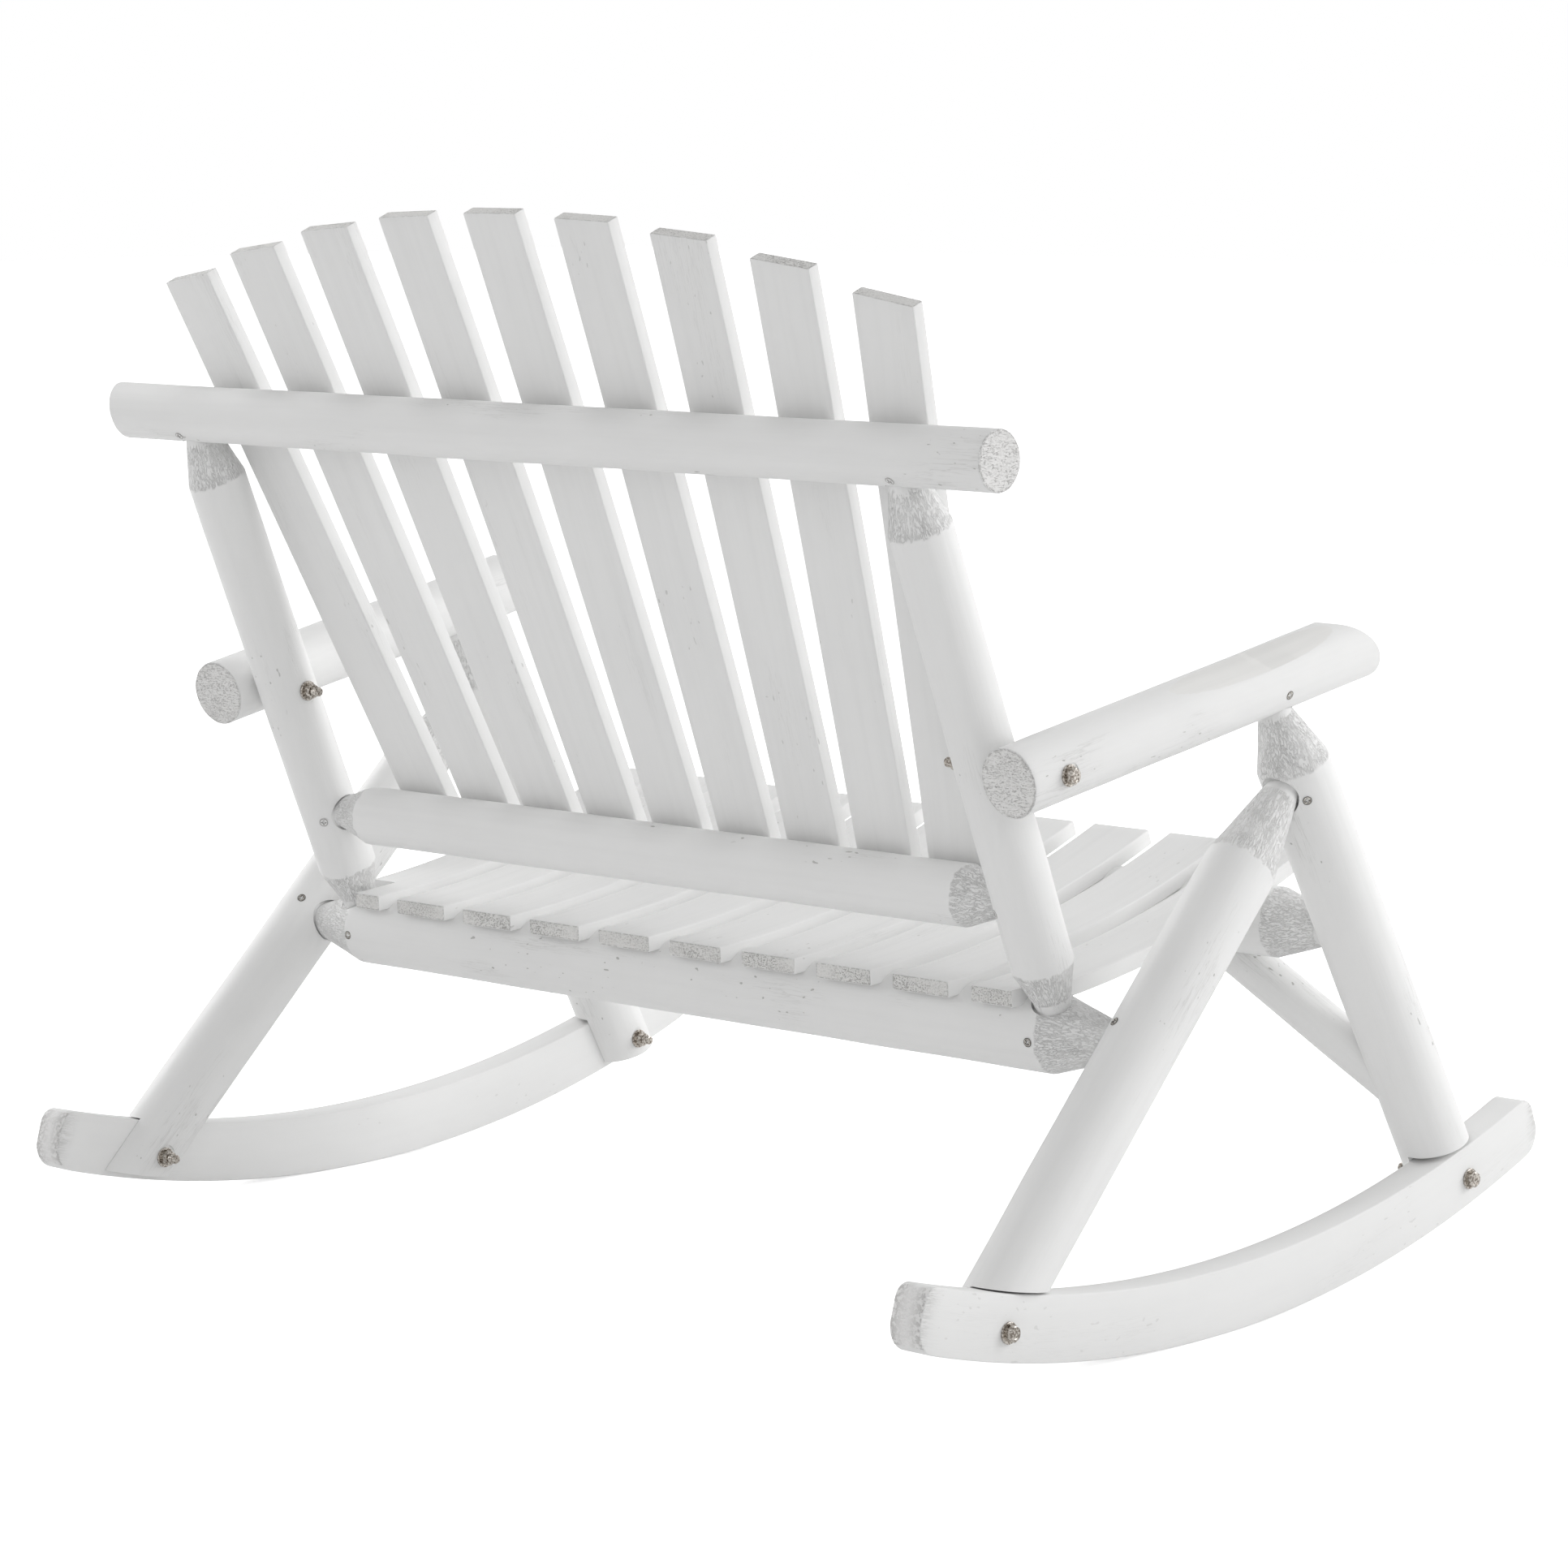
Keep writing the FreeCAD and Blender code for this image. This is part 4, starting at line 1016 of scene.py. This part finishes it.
def screw_heads(name, nodes, spots, radius, looks):
    """Countersunk heads with a cross recess, its sunken faces coloured dark as painted shade; spots are
    (place, outward direction).
    """
    steps = 40
    deep = radius * 0.38
    levels = ((0.72, -2.0), (1.0, -0.35), (1.0, 0.0), (0.95, -0.5), (0.88, 0.0))
    rows = [[(radius * share, height)] * steps for share, height in levels]
    for share in (0.8, 0.66, 0.55, 0.45, 0.36, 0.27, 0.18, 0.09):
        r = radius * share
        row = []
        for turn in turns(steps):
            near, far = sorted((abs(r * cos(turn)), abs(r * sin(turn))))
            inside = near < radius * 0.13 and far < radius * 0.58
            row.append((r, -deep if inside else 0.02))
        rows.append(row)
    verts, faces, sunk = [], [], set()
    for number, (place, away) in enumerate(spots):
        axes = basis(away)
        base = len(verts)
        for row in rows:
            verts.extend(ring_of(place, axes, row, number * 0.7))
        verts.append(place - axes[2] * deep)
        for k, pair in enumerate(zip(rows, rows[1:])):
            for i, face in enumerate(band(steps, base + k * steps)):
                if min(row[j % steps][1] for row in pair for j in (i, i + 1)) < -0.45:
                    sunk.add(len(faces))
                faces.append(face)
        last = base + (len(rows) - 1) * steps
        sunk.update(range(len(faces), len(faces) + steps))
        faces.extend((last + i, last + (i + 1) % steps, len(verts) - 1) for i in range(steps))
        faces.append(tuple(base + i for i in range(steps))[::-1])
    obj = make_object(name, verts, faces)
    shade(obj, 50)
    declare(obj, nodes, looks)
    # Sunken faces of the cross recess take the second look, a dark colour that is painted shade.
    for face in obj.data.polygons:
        face.material_index = 1 if face.index in sunk else 0


def hex_rings(start, direction, height, steps=48):
    """Rings of a hexagon with a chamfered crown, from the seat outwards."""
    rows = []
    for share, crown in ((0.0, 0.6), (0.04, 0.0), (0.8, 0.0), (0.92, 0.6), (1.0, 1.4)):
        row = []
        for turn in turns(steps):
            part = (turn + pi / 6) % (pi / 3) - pi / 6
            hexagon = HEX_FLATS / 2 / cos(part)
            row.append((min(hexagon, HEX_FLATS / sqrt(3) - crown), share * height))
        rows.append(row)
    rows.append([(HEX_FLATS * 0.33, height)] * steps)
    rows.append([(HEX_FLATS * 0.30, height - 0.25)] * steps)
    return [ring_of(start, basis(direction), row) for row in rows]


def washer_rings(start, direction):
    r, thick = WASHER_R, WASHER
    rows = [(r - 0.3, 0.0), (r, 0.3), (r, thick - 0.4), (r - 0.5, thick), (WASHER_HOLE_R, thick)]
    return [ring_of(start, basis(direction), [row] * 64) for row in rows]


def thread_rings(start, direction, steps=36):
    """A threaded end that tapers at its tip."""
    rings = []
    count = int(THREAD_LENGTH / 0.2)
    for k in range(count + 1):
        s = THREAD_LENGTH * k / count
        tip = max(0.0, s - THREAD_LENGTH + 1.4) * 0.8
        row = []
        for i in range(steps):
            phase = (s / THREAD_PITCH - i / steps) % 1.0
            row.append((THREAD_R - 0.75 * abs(2 * phase - 1) - tip, s))
        rings.append(ring_of(start, basis(direction), row))
    return rings


def join_tubes(name, groups):
    verts = []
    faces = []
    for rings in groups:
        more, polygons = tube(rings)
        base = len(verts)
        verts.extend(more)
        faces.extend(tuple(base + i for i in face) for face in polygons)
    return make_object(name, verts, faces)


def build_bolts(material):
    heads, nuts, washers, ends = [], [], [], []
    for outer, inner, y, z in bolt_places():
        for side in SIDES:
            out = X_AXIS * side
            washers.append(washer_rings(Vector((outer * side, y, z)), out))
            washers.append(washer_rings(Vector((inner * side, y, z)), -out))
            heads.append(hex_rings(Vector(((outer + WASHER) * side, y, z)), out, HEAD_HEIGHT))
            nuts.append(hex_rings(Vector(((inner - WASHER) * side, y, z)), -out, NUT_HEIGHT))
            ends.append(thread_rings(Vector(((inner - WASHER - THREAD_START) * side, y, z)), -out))
    frames = (
        ("hex_heads_of_runner_bolts", "runner_bolts", heads[:4] + ends[:4]),
        ("hex_heads_of_armrest_bolts", "armrest_bolts", heads[4:] + ends[4:]),
        ("hex_nuts", "bolt_nuts", nuts),
        ("plain_washers", "bolt_washers", washers),
    )
    for name, node, groups in frames:
        obj = join_tubes(name, groups)
        shade(obj, 25)
        declare(obj, [node], [material])


def frame_screw_spots(painted):
    """The painted or the bare screws that lock the tenons, as (place, outward direction)."""
    if painted:
        places = [
            (back_point(POST_X, LOW_RAIL_S, 0), BACK_NORMAL * -0.83 + Vector((-0.56, 0, 0)), POST_R),
            (back_point(POST_X + 4, BACK_LENGTH, 0), Vector((0, 0.645, -0.764)), TOP_RAIL_R),
        ]
    else:
        places = [
            (Vector((POST_X - 10, RAIL_Y, RAIL_Z)), Vector((0, 0.99, -0.11)), 40.4),
            (rear_leg_point(RAIL_Z + 1), Vector((-0.37, 0.656, 0.657)), REAR_LEG_R),
            (front_leg_point(512.4), Vector((0.703, 0.634, -0.322)), FRONT_LEG_R),
            (arm_point(front_leg_top().y - 2), Vector((0.937, -0.014, -0.348)), ARM_R),
        ]
    found = []
    for axis, away, radius in places:
        away = away.normalized()
        for side in SIDES:
            found.append((sided(axis + away * (radius - 0.3), side), sided(away, side)))
    return found


def build_screws(bare, painted):
    screw_heads("bare_frame_screws", ["frame_screws"], frame_screw_spots(False), FRAME_SCREW_R, bare)
    screw_heads("painted_frame_screws", ["frame_screws"], frame_screw_spots(True), FRAME_SCREW_R, painted)
    centre, radius, _ = seat_arc()
    found = []
    for y in (RAIL_Y, SEAT_FRONT_Y):
        drop = sqrt(radius ** 2 - (y - centre.y) ** 2)
        point = Vector((0, y, centre.z - drop))
        normal = (centre - point).normalized()
        for index in range(SEAT_SLATS):
            for margin in (-1, 1):
                x = seat_slat_x(index) + margin * (SEAT_SLAT_WIDTH / 2 - 12)
                if y == RAIL_Y:
                    x = max(-452.0, min(452.0, x))
                found.append((point + Vector((x, 0, 0)) - normal * 0.35, normal))
    screw_heads("screws_of_seat_slats", [], found, SLAT_SCREW_R, painted)
    found = []
    half = BACK_SLATS // 2
    for s in (LOW_RAIL_S, BACK_LENGTH):
        for index in range(-half, half + 1):
            tilt = radians(BACK_SLAT_TILT * index)
            middle = BACK_SLAT_SHIFT + BACK_SLAT_PITCH * index + (s - BACK_SLAT_SET_S) * tan(tilt)
            for margin in (-1, 1):
                x = middle + margin * (BACK_SLAT_WIDTH / 2 - 16)
                spot = back_point(x, s, BACK_SLAT_FRONT + BACK_SLAT_THICK - 0.35)
                found.append((spot, BACK_NORMAL))
    screw_heads("screws_of_back_slats", [], found, SLAT_SCREW_R, painted)


# Light and camera

def build_floor():
    n = Nodes("studio_floor")
    diffuse = n.add("BsdfDiffuse")
    n.put(diffuse.inputs["Color"], (0.9, 0.9, 0.9, 1))
    glow = n.add("Emission")
    n.put(glow.inputs["Color"], (1, 1, 1, 1))
    reach = n.add("VectorMath", operation="LENGTH")
    n.put(reach.inputs[0], n.add("TexCoord").outputs["Object"])
    strength = n.spread(reach.outputs["Value"], 0.9, 2.4, 0.66, 1.0)
    ray = n.add("LightPath").outputs["Is Camera Ray"]
    n.put(glow.inputs["Strength"], n.times(ray, strength))
    both = n.add("AddShader")
    n.put(both.inputs[0], diffuse.outputs[0])
    n.put(both.inputs[1], glow.outputs[0])
    n.put(n.add("OutputMaterial").inputs[0], both.outputs[0])
    half = 30000
    corners = ((-half, -half), (half, -half), (half, half), (-half, half))
    floor = make_object("studio_floor_plane", [Vector((x, y, -0.2)) for x, y in corners], [(0, 1, 2, 3)])
    floor.data.materials.append(n.owner)


def build_world():
    """Plain white where the camera sees it, and a dimmer white as light."""
    n = Nodes("studio", "worlds")
    bpy.context.scene.world = n.owner
    mix = n.add("MixShader")
    n.put(mix.inputs[0], n.add("LightPath").outputs["Is Camera Ray"])
    for socket, strength in ((mix.inputs[1], 0.46), (mix.inputs[2], 1.0)):
        light = n.add("Background")
        n.put(light.inputs["Color"], (1, 1, 1, 1))
        n.put(light.inputs["Strength"], strength)
        n.put(socket, light.outputs[0])
    n.put(n.add("OutputWorld").inputs[0], mix.outputs[0])


def add_lamp(name, azimuth, elevation, power):
    """A soft disc lamp 5 m from the bench, azimuth counted from the sitter's left towards the back."""
    data = bpy.data.lights.new(name, "AREA")
    data.shape = "DISK"
    data.size = 3.0
    data.energy = power
    lamp = add_object(name, data)
    around, up = radians(azimuth), radians(elevation)
    away = Vector((cos(around) * cos(up), sin(around) * cos(up), sin(up)))
    lamp.location = Vector((0, 0, 0.5)) + away * 5.0
    lamp.rotation_mode = "QUATERNION"
    lamp.rotation_quaternion = (-away).to_track_quat("-Z", "Y")
    lamp.visible_camera = False


def build_camera():
    data = bpy.data.cameras.new("view")
    data.lens = 118.35
    data.sensor_width = 36.0
    data.clip_end = 200
    camera = add_object("view", data)
    camera.location = (-3.6036, 3.8673, 1.1556)
    camera.rotation_euler = (radians(82.654), 0, radians(222.886))
    bpy.context.scene.camera = camera


def main():
    white = (0.84, 0.84, 0.835, 1)
    log_paint = painted_wood("painted_log", white)
    end_paint = sawn_end("sawn_log_end", (0.8, 0.795, 0.785, 1), 0.9, 0.3)
    board_paint = painted_wood("painted_board", white, streak=0.3, bump=0.00018, age=0.6)
    board_end = sawn_end("sawn_board_end", (0.78, 0.775, 0.76, 1), 0.3, 0.9)
    runner_paint = painted_wood("painted_runner", white, streak=0.1, bump=0.00015, age=0.3)
    runner_end = sawn_end("sawn_runner_end", (0.83, 0.825, 0.82, 1), 0.45, 0.12, 0.4)
    # The palm paint is darker and warmer than the log paint: partly its planed finish, partly painted shade
    # of the upward-facing band.
    palm_paint_and_shade = painted_wood("planed_palm_and_shade", (0.83, 0.825, 0.81, 1), streak=0.4, bump=0.0003, age=1.2)
    logs = [log_paint, end_paint]
    boards = [board_paint, board_end]
    for side in SIDES:
        shift = 0.37 if side == LEFT else 0.0
        build_rear_leg(side, 1.3 + shift, logs)
        build_front_leg(side, 2.9 + shift, logs)
        build_armrest(side, 4.1 + shift, logs + [palm_paint_and_shade])
        build_post(side, 5.7 + shift, logs)
        build_brace(side, 7.2 + shift, logs)
        build_runner(side, 8.4 + shift, [runner_paint, runner_end])
    build_top_rail(10.3, logs)
    centre = back_point(0, LOW_RAIL_S, 0)
    build_double_rail("peeled_low_rail", "lower_back_rail", centre.y, centre.z, 31.75, 40, 18,
                      POST_X - POST_R + 1.5, 14, 11.9, logs)
    build_double_rail("peeled_seat_rear_rail", "seat_rear_rail", RAIL_Y, RAIL_Z, 40.5, 64, 21,
                      leg_x(RAIL_Z) - REAR_LEG_R + 1, 16, 13.4, logs)
    build_double_rail("peeled_seat_front_rail", "seat_front_rail", SEAT_FRONT_Y, SEAT_FRONT_Z, 37, 56, 19,
                      leg_x(SEAT_FRONT_Z) - FRONT_LEG_R + 1, 16, 14.8, logs)
    for number in range(1, BACK_SLATS + 1):
        build_back_slat(number, boards)
    for number in range(1, SEAT_SLATS + 1):
        build_seat_slat(number, boards)
    steel = metal("zinc_steel", (0.68, 0.64, 0.59, 1), (0.22, 0.19, 0.16, 1), 0.25)
    # Screw recesses are coloured dark as painted shade: near black in the bare screws, grey in the
    # painted-over ones.
    recess = metal("recess_painted_shade", (0.05, 0.045, 0.04, 1), (0.02, 0.02, 0.02, 1), 0.6)
    screw_steel = [metal("screw_steel", (0.62, 0.60, 0.56, 1), (0.30, 0.28, 0.25, 1), 0.4), recess]
    grey_recess_shade = painted_metal("painted_over_recess_shade", (0.32, 0.31, 0.30, 1))
    painted = [painted_metal("painted_screw", (0.82, 0.82, 0.81, 1)), grey_recess_shade]
    build_bolts(steel)
    build_screws(screw_steel, painted)
    build_floor()
    build_world()
    add_lamp("overhead", 0, 90, 28)
    add_lamp("right", 223, 20, 107)
    add_lamp("left", 358, 20, 92)
    add_lamp("front", 268, 20, 50)
    add_lamp("rear_left", 43, 20, 27)
    add_lamp("rear_right", 133, 20, 25)
    build_camera()
    bpy.context.scene.view_settings.view_transform = "Standard"


main()
